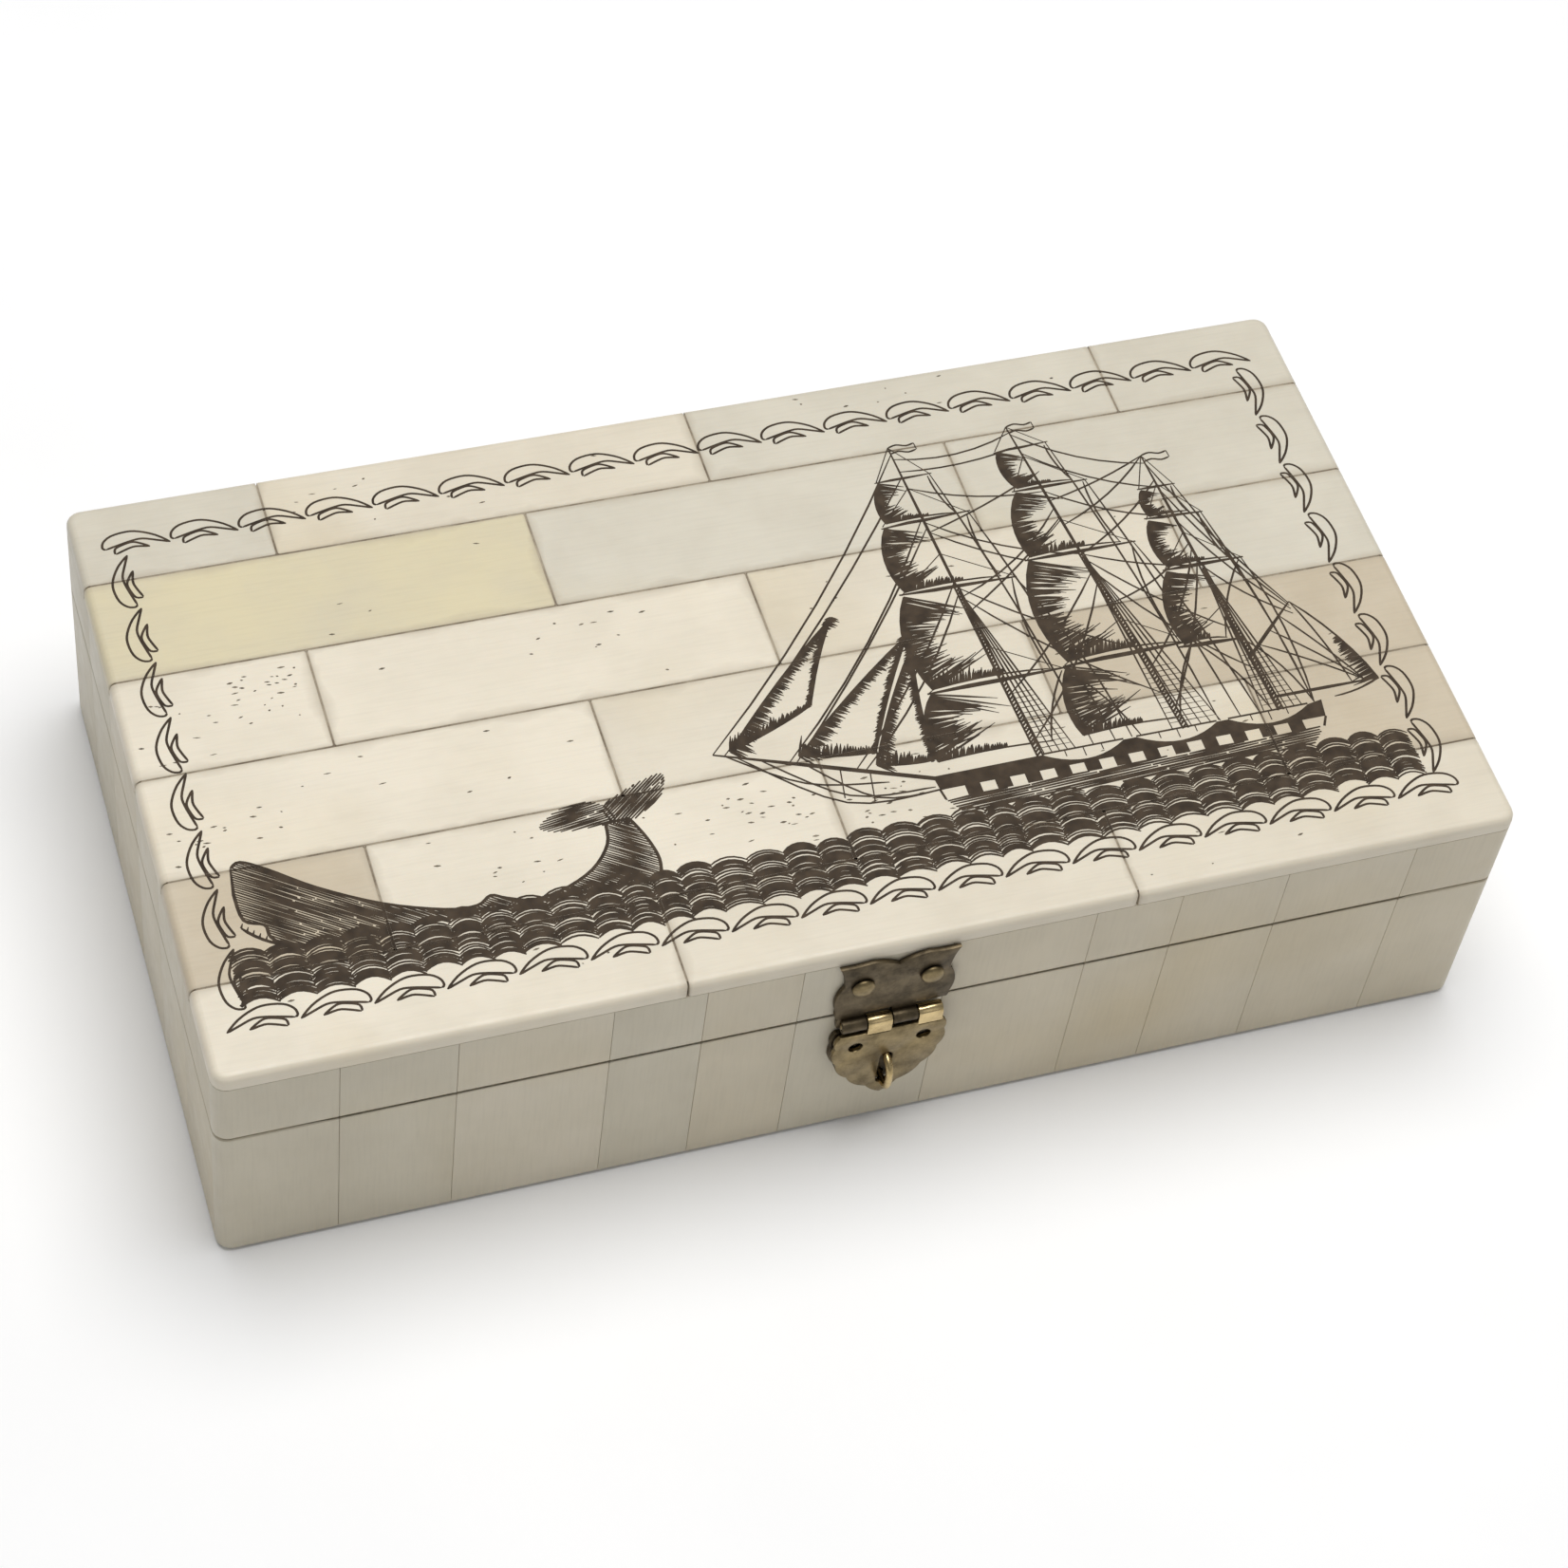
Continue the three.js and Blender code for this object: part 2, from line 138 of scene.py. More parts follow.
def millimetre_coordinates(tree, stretch=(1, 1, 1), shift=(0, 0, 0)):
    """Object coordinates in millimetres, divided by stretch along each axis."""
    place = add_node(tree, "ShaderNodeTexCoord").outputs["Object"]
    scale = [1 / (MM * value) for value in stretch]
    mapping = {"Vector": place, "Scale": scale, "Location": shift}
    return add_node(tree, "ShaderNodeMapping", mapping).outputs["Vector"]


def noise(tree, coordinates, scale, detail=3.0, roughness=0.55):
    inputs = {"Vector": coordinates, "Scale": scale, "Detail": detail, "Roughness": roughness}
    return add_node(tree, "ShaderNodeTexNoise", inputs).outputs["Fac"]


def ramp(tree, factor, stops):
    """Colour ramp. Each stop is (position, colour), and a colour may be one grey value."""
    made = add_node(tree, "ShaderNodeValToRGB", {"Fac": factor})
    elements = made.color_ramp.elements
    while len(elements) < len(stops):
        elements.new(0.5)
    for element, (position, colour) in zip(elements, stops):
        rgb = colour if isinstance(colour, tuple) else (colour, colour, colour)
        element.position = position
        element.color = (*rgb, 1)
    return made.outputs["Color"]


def mix(tree, factor, first, second, blend="MIX"):
    made = add_node(tree, "ShaderNodeMix", data_type="RGBA", blend_type=blend)
    for socket, value in ((0, factor), (6, first), (7, second)):
        set_inputs(tree, made, {socket: (*value, 1) if isinstance(value, tuple) else value})
    return made.outputs[2]


def set_bump(tree, shader, height, strength, distance=0.1):
    inputs = {"Height": height, "Strength": strength, "Distance": distance * MM}
    bump = add_node(tree, "ShaderNodeBump", inputs)
    set_inputs(tree, shader, {"Normal": bump.outputs["Normal"]})


def calculate(tree, operation, first, second):
    return add_node(tree, "ShaderNodeMath", {0: first, 1: second}, operation=operation).outputs["Value"]


def point_value(tree, name):
    return add_node(tree, "ShaderNodeAttribute", attribute_name=name).outputs["Vector"]


def joint_stain(tree, coordinates):
    """Dirt drawn into the bone beside a joint: strong at a tile's edge and gone after a varying way."""
    place = {0: point_value(tree, "tile_place")}
    away = add_node(tree, "ShaderNodeVectorMath", place, operation="ABSOLUTE").outputs["Vector"]
    pair = {0: point_value(tree, "tile_half"), 1: away}
    left = add_node(tree, "ShaderNodeVectorMath", pair, operation="SUBTRACT").outputs["Vector"]
    parts = add_node(tree, "ShaderNodeSeparateXYZ", {"Vector": left}).outputs
    nearest = calculate(tree, "MINIMUM", parts["X"], parts["Y"])
    share = ramp(tree, noise(tree, coordinates, 0.11, 3.0, 0.6), ((0.4, 0.18), (0.72, 1.0)))
    faded = calculate(tree, "DIVIDE", nearest, calculate(tree, "MULTIPLY", share, STAIN_REACH))
    return ramp(tree, faded, ((0.0, 0.6), (0.4, 0.25), (1.0, 0.0)))


def bone_material(name, light, dark, shift, grain_axis=0, stained=False):
    """Polished bone: cloudy tone, faint fibres along one axis and a soft satin surface."""
    made, tree, shader = new_material(name)
    plain = millimetre_coordinates(tree, shift=shift)
    stretch = [0.45, 0.45, 0.45]
    stretch[grain_axis] = 9.0
    fibres = noise(tree, millimetre_coordinates(tree, stretch, shift), 1.0, 4.0, 0.6)
    clouds = noise(tree, plain, 0.055, 4.0, 0.6)
    stain = noise(tree, plain, 0.021, 2.0, 0.5)
    colour = ramp(tree, clouds, ((0.3, dark), (0.62, light)))
    fibre_tone = ramp(tree, fibres, ((0.28, 0.91), (0.55, 1.0)))
    colour = mix(tree, 0.55, colour, fibre_tone, "MULTIPLY")
    stain_tone = ramp(tree, stain, ((0.55, (1.0, 1.0, 1.0)), (0.75, (0.93, 0.88, 0.76))))
    colour = mix(tree, 0.7, colour, stain_tone, "MULTIPLY")
    if stained:
        colour = mix(tree, joint_stain(tree, plain), colour, STAIN_TONE)
    gloss = ramp(tree, noise(tree, plain, 0.3, 5.0, 0.65), ((0.3, 0.36), (0.75, 0.56)))
    set_inputs(tree, shader, {"Base Color": colour, "Roughness": gloss, "Subsurface Weight": 0.08})
    set_inputs(tree, shader, {"Subsurface Radius": SUBSURFACE_RADIUS, "Subsurface Scale": 1.0})
    set_bump(tree, shader, fibres, 0.12)
    return made


def grime_material(name, pale, dark, scale):
    """Matt dirt or ink whose darkness varies along a line."""
    made, tree, shader = new_material(name)
    plain = millimetre_coordinates(tree)
    patches = noise(tree, plain, scale, 5.0, 0.7)
    colour = ramp(tree, patches, ((0.36, dark), (0.66, pale)))
    dull = ramp(tree, noise(tree, plain, 2.0), ((0.3, 0.6), (0.7, 0.9)))
    set_inputs(tree, shader, {"Base Color": colour, "Roughness": dull, "Specular IOR Level": 0.2})
    set_bump(tree, shader, patches, 0.25, 0.05)
    return made


def wood_material(name, light, dark, along=0):
    """Plain stained hardwood with long grain, fine pores and a dull wax finish."""
    made, tree, shader = new_material(name)
    stretch = [2.4, 2.4, 2.4]
    stretch[along] = 34.0
    grain = noise(tree, millimetre_coordinates(tree, stretch), 1.0, 5.0, 0.6)
    fine_stretch = [0.3, 0.3, 0.3]
    fine_stretch[along] = 5.0
    pores = noise(tree, millimetre_coordinates(tree, fine_stretch), 1.0, 3.0, 0.6)
    colour = ramp(tree, grain, ((0.32, dark), (0.5, light), (0.68, dark)))
    colour = mix(tree, 0.5, colour, ramp(tree, pores, ((0.32, 0.5), (0.52, 1.0))), "MULTIPLY")
    gloss = ramp(tree, pores, ((0.3, 0.72), (0.7, 0.5)))
    set_inputs(tree, shader, {"Base Color": colour, "Roughness": gloss})
    set_bump(tree, shader, pores, 0.25)
    return made


def brass_material(name, bright, tarnish, spread, gloss):
    """Old brass: tarnish in patches and fine scratches over bright metal."""
    made, tree, shader = new_material(name)
    plain = millimetre_coordinates(tree)
    patches = noise(tree, plain, 0.28, 6.0, 0.68)
    scratches = noise(tree, millimetre_coordinates(tree, (4.0, 0.35, 0.35)), 1.0, 3.0, 0.6)
    colour = ramp(tree, patches, ((spread - 0.16, tarnish), (spread + 0.16, bright)))
    rough = ramp(tree, patches, ((spread - 0.16, gloss + 0.2), (spread + 0.16, gloss)))
    set_inputs(tree, shader, {"Base Color": colour, "Roughness": rough, "Metallic": 1.0})
    set_bump(tree, shader, mix(tree, 0.5, patches, scratches), 0.3)
    return made


# Light and dark of each tone. The upright tiles differ less from each other and are darker, as painted
# shade.
TOP_TONES = {
    "white": ((0.76, 0.69, 0.56), (0.69, 0.625, 0.50)),
    "cream": ((0.705, 0.64, 0.515), (0.64, 0.575, 0.455)),
    "yellow": ((0.66, 0.585, 0.385), (0.61, 0.545, 0.39)),
    "grey": ((0.635, 0.59, 0.485), (0.57, 0.525, 0.425)),
    "tan": ((0.57, 0.49, 0.365), (0.50, 0.42, 0.30)),
}
# Upright tiles: their own tones, darkened as painted shade for sides that face away from the overhead light
SHADED_SIDE_TONES = {
    "white": ((0.62, 0.56, 0.44), (0.57, 0.515, 0.395)),
    "cream": ((0.60, 0.535, 0.405), (0.55, 0.49, 0.37)),
    "yellow": ((0.585, 0.52, 0.375), (0.54, 0.475, 0.33)),
    "grey": ((0.575, 0.525, 0.41), (0.53, 0.48, 0.37)),
    "tan": ((0.56, 0.495, 0.365), (0.51, 0.45, 0.325)),
}
SIDE_TONE_WEIGHTS = (2, 4, 0.7, 4, 0.3)  # how often each tone is drawn
WOOD_LIGHT = (0.30, 0.15, 0.075)
WOOD_DARK = (0.16, 0.075, 0.036)


def bone_set(prefix, tones, grain_axis, stained):
    """One bone material for each tone, each with its own clouds."""
    return {
        tone: bone_material(f"{prefix}_{tone}", *shades, (37 * i, 53 * i, 0), grain_axis, stained)
        for i, (tone, shades) in enumerate(tones.items())
    }


top_bone = bone_set("bone_lengthwise", TOP_TONES, 0, True)
# The upright tiles get the darkened tones, their painted shade
side_bone_painted_shade = bone_set("bone_upright_painted_shade", SHADED_SIDE_TONES, 2, False)
ink = grime_material("engraving_ink", (0.075, 0.053, 0.034), (0.036, 0.025, 0.016), 0.5)
pore_dirt = grime_material("pore_dirt", (0.24, 0.20, 0.145), (0.08, 0.064, 0.045), 0.6)
joint_grime = grime_material("joint_grime", (0.42, 0.36, 0.27), (0.15, 0.115, 0.08), 0.13)
side_grime = grime_material("side_grime", (0.58, 0.53, 0.42), (0.46, 0.41, 0.32), 0.2)
# Brass of the hasp and catch plates, darkened as painted shade over its tarnish patches
plate_brass_painted_shade = brass_material("plate_brass_painted_shade", (0.14, 0.109, 0.066), (0.06, 0.047, 0.03), 0.5, 0.36)
worn_brass = brass_material("worn_brass", (0.30, 0.233, 0.122), (0.14, 0.106, 0.056), 0.48, 0.3)
# Knuckles and staple: brass brightened as a painted highlight, with a glossier finish
glossy_brass_painted_highlight = brass_material("glossy_brass_painted_highlight", (0.66, 0.51, 0.27), (0.34, 0.255, 0.12), 0.44, 0.17)


# Pieces


def add_object(name, data):
    made = bpy.data.objects.new(name, data)
    bpy.context.scene.collection.objects.link(made)
    return made


def add_piece(name, mesh, materials, body, nodes=()):
    for material in materials:
        mesh.materials.append(material)
    piece = add_object(name, mesh)
    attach(piece, body)
    if nodes:
        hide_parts(*nodes)


def new_mesh(name, points, faces, face_materials=None):
    """Mesh from points in millimetres."""
    mesh = bpy.data.meshes.new(name)
    mesh.from_pydata([(x * MM, y * MM, z * MM) for x, y, z in points], [], faces)
    if face_materials:
        mesh.polygons.foreach_set("material_index", face_materials)
    mesh.update()
    return mesh


def smooth_by_angle(mesh, degrees=35, flat_faces=0):
    """Smooth shading up to an angle between faces. The first flat_faces stay flat."""
    mesh.set_sharp_from_angle(angle=math.radians(degrees))
    mesh.polygons.foreach_set("use_smooth", [i >= flat_faces for i in range(len(mesh.polygons))])


def arc(middle, radius, start, end, steps):
    angles = [math.radians(start + (end - start) * i / steps) for i in range(steps + 1)]
    return [Vector((middle[0] + radius * math.cos(a), middle[1] + radius * math.sin(a))) for a in angles]


def join_rings(faces, lower, upper):
    """Band of faces between two rings with the same number of points."""
    for i in range(len(lower)):
        after = (i + 1) % len(lower)
        faces.append([lower[i], lower[after], upper[after], upper[i]])


# Strokes of the picture

strokes = []  # (figure, closed outline)


def ribbon(points, widths):
    """Closed outline of a line that has a width at each of its points."""
    path = [Vector(point) for point in points]
    right, left = [], []
    for i, point in enumerate(path):
        way = path[min(i + 1, len(path) - 1)] - path[max(i - 1, 0)]
        across = Vector((-way.y, way.x)).normalized() * (widths[i] / 2)
        right.append(point - across)
        left.append(point + across)
    return right + left[::-1]


def engrave(figure, points, width=LINE, tips=(0.55, 0.55)):
    """Cuts a line. The tips are the widths of its two ends, as shares of its width."""
    last = len(points) - 1
    widths = [width] * len(points)
    widths[0] *= tips[0]
    widths[last] *= tips[1]
    strokes.append((figure, ribbon(points, widths)))


def fill(figure, outline):
    """Cuts away a whole area. Its outline runs anticlockwise."""
    strokes.append((figure, [Vector(point) for point in outline]))


def through(points, steps=4, closed=False):
    """Points on a smooth curve through the given points."""
    knots = [Vector(point) for point in points]
    ends = (knots[-1:], knots[:2]) if closed else (knots[:1], knots[-1:])
    spans = ends[0] + knots + ends[1]
    curve = []
    for before, start, end, after in zip(spans, spans[1:], spans[2:], spans[3:]):
        for i in range(steps):
            t = i / steps
            bend = (2 * before - 5 * start + 4 * end - after) * t * t
            twist = (3 * start - before - 3 * end + after) * t ** 3
            curve.append((2 * start + (end - before) * t + bend + twist) / 2)
    return curve if closed else curve + knots[-1:]


def bowed(start, end, sag, steps=6):
    """Points on a shallow arc, which swells by sag to the left of the way from start to end."""
    start, end = Vector(start), Vector(end)
    across = Vector((start.y - end.y, end.x - start.x)).normalized()
    shares = [i / steps for i in range(steps + 1)]
    return [start.lerp(end, t) + across * (4 * sag * t * (1 - t)) for t in shares]


def spaced(points, spacing):
    """(point, share of the length) at even steps along a line."""
    lengths = [0.0]
    for start, end in zip(points, points[1:]):
        lengths.append(lengths[-1] + (Vector(end) - Vector(start)).length)
    count = max(2, round(lengths[-1] / spacing))
    found = []
    span = 0
    for i in range(count + 1):
        along = lengths[-1] * i / count
        while span < len(points) - 2 and lengths[span + 1] < along:
            span += 1
        part = (along - lengths[span]) / max(lengths[span + 1] - lengths[span], 1e-6)
        found.append((Vector(points[span]).lerp(Vector(points[span + 1]), min(part, 1)), i / count))
    return found


def crossings(outline, height):
    """Places where a level line crosses an outline, from left to right."""
    found = []
    for start, end in zip(outline, outline[1:] + outline[:1]):
        if (start.y > height) != (end.y > height):
            found.append(start.x + (height - start.y) / (end.y - start.y) * (end.x - start.x))
    return sorted(found)


HATCH = {"shortest": 0.35, "wander": 0.05, "widths": (0.85, 1.1), "gaps": (0.1, 0.4)}
SHADE = {"reach": (0.72, 1.12), "stray": (-0.12, 0.12), "bend": 0.55, "tips": (0.9, 0.3)}


def hatch(figure, outline, degrees, spacing, width, draw, run=(5, 13)):
    """Fills an area with broken parallel strokes that leave hairlines of bone between them."""
    away = Matrix.Rotation(math.radians(-degrees), 2)
    back = Matrix.Rotation(math.radians(degrees), 2)
    shape = [away @ Vector(point) for point in outline]
    height = min(point.y for point in shape) + spacing / 2
    top = max(point.y for point in shape)
    while height < top:
        places = crossings(shape, height)
        for start, end in zip(places[::2], places[1::2]):
            while end - start > HATCH["shortest"]:
                stop = min(end, start + draw.uniform(*run))
                wander = [draw.uniform(-HATCH["wander"], HATCH["wander"]) for _ in range(3)]
                points = [
                    back @ Vector((start + (stop - start) * share, height + offset))
                    for share, offset in zip((0, 0.5, 1), wander)
                ]
                engrave(figure, points, width * draw.uniform(*HATCH["widths"]))
                start = stop + draw.uniform(*HATCH["gaps"])
        height += spacing


def shade(figure, edge, inward, depth, draw, spacing=0.33, width=0.38):
    """Hatching that runs in from an edge, with a ragged inner side.

    inward and depth give its way and its reach at a share of the edge's length.
    """
    for point, share in spaced(edge, spacing):
        reach = depth(share) * draw.uniform(*SHADE["reach"])
        stray = Vector((draw.uniform(*SHADE["stray"]), draw.uniform(*SHADE["stray"])))
        way = (Vector(inward(share)) + stray) * reach
        engrave(figure, [point, point + way * SHADE["bend"], point + way], width, SHADE["tips"])


# Border, waves and whale

# A row or column of motifs starts at the tip of its first leaf.
BORDER_ROWS = {"count": 18, "pitch": 10.05, "back": (13.9, 92.6), "front": (3.5, 7.3)}
BORDER_COLUMNS = {"count": 8, "pitch": 10.15, "left": (7.3, 91.4), "right": (181.3, 81.6)}
MOTIF_LENGTH = 9.8
MOTIF_HEIGHT = 3.2
OUTER_LEAF = (
    (0, 0), (0.19, 0.53), (0.42, 0.9), (0.61, 1.0), (0.84, 0.88), (0.97, 0.58), (1.0, 0.25), (0.96, 0.13),
)
INNER_LEAF = ((0, 0), (0.19, 0.23), (0.39, 0.45), (0.55, 0.43), (0.77, 0.28), (0.96, 0.13))
SMALL_LEAF = ((0.31, -0.07), (0.44, 0.2), (0.55, 0.34), (0.68, 0.28), (0.82, 0.1), (0.84, -0.22))
SMALL_RIM = ((0.31, -0.07), (0.52, 0.06), (0.66, -0.03), (0.83, -0.23))


def border_motif(tip, along, outward):
    """A long leaf with a small one inside its bend."""

    def placed(share, up):
        lengthwise = Vector(along) * share * MOTIF_LENGTH
        return Vector(tip) + lengthwise + Vector(outward) * up * MOTIF_HEIGHT

    for outline in (OUTER_LEAF, INNER_LEAF, SMALL_LEAF, SMALL_RIM):
        engrave("border", through([placed(*point) for point in outline], 3), LINE)


def draw_border():
    """Leaves round the picture. Those at the back point the other way."""
    for i in range(BORDER_ROWS["count"]):
        step = Vector((i * BORDER_ROWS["pitch"], 0))
        border_motif(Vector(BORDER_ROWS["back"]) + step, (-1, 0), (0, 1))
        border_motif(Vector(BORDER_ROWS["front"]) + step, (1, 0), (0, 1))
    for i in range(BORDER_COLUMNS["count"]):
        step = Vector((0, -i * BORDER_COLUMNS["pitch"]))
        border_motif(Vector(BORDER_COLUMNS["left"]) + step, (0, -1), (-1, 0))
        border_motif(Vector(BORDER_COLUMNS["right"]) + step, (0, 1), (1, 0))


SEA = {"left": 6.4, "right": 180.2, "low": 10.9, "high": 19.1, "narrow": 4.2, "wide": 5.5}
CREST_BOW = 1.05
CREST_STRAY = {"top": (-0.5, 0.3), "lean": (-0.1, 0.1), "overlap": (-0.05, 0.3), "bow": (-0.12, 0.12)}
CREST_FALL = 0.2  # from a crest's left end to its right one
CREST_GAP = 0.42  # pale rim between two crests
THIN_CRESTS = 0.4  # share of the crests that have one line less
# Step down to each line of a crest and the line's width, from its rim down
CREST_LINES = (
    (0.0, 0.34), (0.44, 0.3), (0.43, 0.36), (0.31, 0.42), (0.33, 0.42), (0.34, 0.42), (0.33, 0.4),
)


def draw_sea(draw):
    """Columns of stacked crests, each dark below a few pale lines at its rim."""
    start = SEA["left"]
    while start < SEA["right"]:
        end = min(start + draw.uniform(SEA["narrow"], SEA["wide"]), SEA["right"])
        height = SEA["high"] + draw.uniform(*CREST_STRAY["top"])
        lines = list(CREST_LINES[draw.randint(0, 4):])
        while height > SEA["low"]:
            step, width = lines.pop(0)
            height -= step
            lean = draw.uniform(*CREST_STRAY["lean"])
            overlap = draw.uniform(*CREST_STRAY["overlap"])
            ends = ((start - overlap, height - lean), (end + overlap, height + lean - CREST_FALL))
            bow = CREST_BOW + draw.uniform(*CREST_STRAY["bow"])
            engrave("sea", bowed(*ends, bow, 6), width, (0.6, 0.6))
            if not lines:
                lines = list(CREST_LINES)
                if draw.random() < THIN_CRESTS:
                    lines.pop(1)
                height -= CREST_GAP
        start = end


WHALE_BACK = ((9.7, 33.4), (11.2, 34.2), (14.5, 32.2), (20.5, 27.6), (28.5, 23.0), (36.5, 20.1))
WHALE_HUMP = ((41.0, 19.7), (43.2, 20.9), (45.2, 20.0), (48.6, 18.9))
WHALE_TAIL = ((53.0, 19.5), (58.0, 21.9), (61.2, 25.6), (61.9, 29.2))
WHALE_STOCK = ((65.4, 29.2), (66.9, 25.3), (67.6, 21.6), (67.0, 18.4))
WHALE_CHIN = ((15.0, 18.6), (12.6, 21.0), (12.2, 23.2), (9.6, 24.6), (9.2, 29.0))
FLUKE_LEFT = (
    (62.6, 28.9), (63.6, 30.5), (62.4, 32.3), (59.6, 33.5),
    (55.5, 32.6), (52.6, 30.4), (55.4, 29.1), (60.5, 28.9),
)
FLUKE_RIGHT = (
    (62.4, 28.9), (65.6, 28.8), (69.4, 30.9), (71.4, 32.9),
    (72.0, 35.8), (68.0, 34.9), (64.6, 33.4), (62.4, 32.2),
)
WHALE_HATCH = (0.36, 0.41)  # spacing and width of its strokes
WHALE_JAW = ((9.0, 23.4), (14.6, 19.2))
WHALE_EYE = ((15.4, 24.6), (16.6, 24.4))
WHALE_TOOTH = {"pitch": 0.95, "way": (0.35, 0.75)}


def draw_whale(draw):
    runs = (WHALE_BACK + WHALE_HUMP + WHALE_TAIL, WHALE_STOCK, WHALE_CHIN)
    body = [point for run in runs for point in through(run, 4)]
    hatch("whale", body, -34, *WHALE_HATCH, draw, (8, 20))
    engrave("whale", body + body[:1], BOLD)
    for fluke, degrees in ((FLUKE_LEFT, 8), (FLUKE_RIGHT, 38)):
        outline = through(fluke, 4, closed=True)
        hatch("whale", outline, degrees, *WHALE_HATCH, draw, (6, 14))
        engrave("whale", outline + outline[:1], BOLD)
    jaw = bowed(*WHALE_JAW, -0.5)
    engrave("whale", jaw, BOLD)
    for point, _ in spaced(jaw[:-1], WHALE_TOOTH["pitch"]):
        engrave("whale", [point, point + Vector(WHALE_TOOTH["way"])], LINE, (1.0, 0.3))
    engrave("whale", bowed(*WHALE_EYE, 0.25), BOLD)


# Ship

DECK = 26.4
WATERLINE = 19.4
BOWSPRIT = ((80.0, 37.2), (111.0, 25.6))
# Each mast has its foot, its head and its yards from the top down, a yard as (height, left end, right end).
MASTS = (
    (
        (126.0, DECK), (122.8, 87.4),
        ((81.1, 118.6, 127.8), (72.5, 116.8, 131.2), (59.2, 115.4, 133.8), (40.9, 113.6, 135.2)),
    ),
    (
        (148.6, DECK), (142.0, 87.6),
        ((83.2, 138.4, 147.4), (74.9, 138.6, 150.8), (61.6, 136.0, 153.8), (41.4, 134.8, 155.8)),
    ),
    (
        (163.6, DECK), (160.6, 77.6),
        ((71.2, 157.6, 163.8), (65.2, 156.6, 166.0), (55.2, 155.8, 168.8), (40.6, 153.0, 163.0)),
    ),
)
# Feet of the lowest sails of the first two masts, given like yards
LOWEST_FEET = ((28.2, 110.2, 131.0), (28.0, 132.4, 151.0))
MAST_HALF = 0.42
LASHING = {"pitch": 0.62, "half": (0.36, 0.3)}  # slanting strokes on the lower mast
YARD_TILT = (-0.25, 0.35)
FLAG_EDGE = ((0, 0), (1.4, 0.35), (2.9, -0.1), (4.2, 0.2))
FLAG_DROP = 1.3
# Shares of a sail's drop or width
SAIL = {"belly": 0.11, "back": 0.05, "hollow": 0.035, "shade": 0.36, "hem_shade": 0.2}
# For each mast: first and last foot of its shrouds, from the mast, and the height where its ratlines end
SHROUDS = (((-0.5, 5.5), 39.0), ((-2.0, 5.5), 38.5), ((-2.6, 3.4), 38.0))
SHROUD_COUNT = 6
RATLINES = {"first": 1.2, "pitch": 0.95, "width": 0.17}
# Height on the fore mast and share of the bowsprit
FORE_STAYS = ((86.0, 0.0), (81.4, 0.05), (73.0, 0.33), (71.0, 0.36), (60.0, 0.62), (58.0, 0.66))
# Heights on a mast and on the mast behind it
MAST_STAYS = (
    ((85.0, 86.4), (79.0, 74.0), (72.0, 61.0), (70.0, 58.0), (59.0, 42.0), (57.0, 33.0)),
    ((86.0, 76.0), (82.0, 71.0), (74.0, 65.0), (61.0, 55.0), (60.0, 42.0), (58.0, 34.0)),
)
GAFF_STAYS = (76.0, 70.5, 64.0, 55.0)  # heights on the mizzen mast
LIFT = 6.5  # from a yard up to the place where its lifts meet the mast
STERN_RAIL = 169
# Tack, head and clew of each jib
JIBS = (
    ((82.6, 37.2), (104.2, 57.6), (96.4, 42.6)),
    ((92.0, 34.2), (114.2, 52.0), (103.0, 32.4)),
    ((102.4, 30.2), (114.0, 49.6), (110.8, 29.2)),
)
GAFF = ((162.4, 36.4), (172.4, 45.4))
BOOM = ((163.8, 28.9), (180.2, 28.8))
# Lines under the bowsprit: share where one starts, its sag and share where it ends
BOWSPRIT_LINES = ((0.05, 3.2, 0.75), (0.2, 4.6, 0.95), (0.4, 4.4, 1.0), (0.1, 6.0, 1.0))
HULL_ENDS = (109.6, 170.2)
BULWARK_GAPS = ((132.6, 6.3), (147.2, 6.3), (161.6, 6.3))  # middle and half length of each pale swag
PORTS = {"first": 113.6, "pitch": 4.55, "width": 2.3, "count": 12, "low": 22.2, "high": 23.9}


def fine_line(points, tips=(0.55, 0.55)):
    engrave("ship", points, FINE, tips)


def on_mast(mast, height):
    foot, head, _ = mast
    height = min(height, head[1])
    return Vector(foot).lerp(Vector(head), (height - foot[1]) / (head[1] - foot[1]))


def draw_square_sail(upper, lower, draw):
    """Sail between two yards. It bellies to the left, where it is hatched, and its foot is cut hollow."""
    height, left, right = upper
    foot, foot_left, foot_right = lower
    drop = height - foot
    width = SAIL["shade"] * (right - left)

    def lee_depth(t):
        return width * (0.8 + 0.6 * abs(2 * t - 1) ** 1.6)

    def hem_depth(t):
        return SAIL["hem_shade"] * drop * (1 - 0.65 * t)

    lee = bowed((left + 0.5, height - 0.3), (foot_left + 1.0, foot + 0.5), -SAIL["belly"] * drop, 8)
    shade("ship", lee, lambda t: (0.92, -0.4 + 0.85 * t), lee_depth, draw, 0.28, 0.39)
    engrave("ship", lee, LINE)
    hem = bowed((foot_left + 1.0, foot + 0.5), (foot_right - 2.2, foot + 0.4), SAIL["hollow"] * drop, 5)
    fine_line(hem)
    shade("ship", hem[:4], lambda t: (0.35, 0.93), hem_depth, draw, 0.34, 0.36)
    fine_line(bowed((right - 0.8, height - 0.3), (foot_right - 2.4, foot + 0.5), -SAIL["back"] * drop))


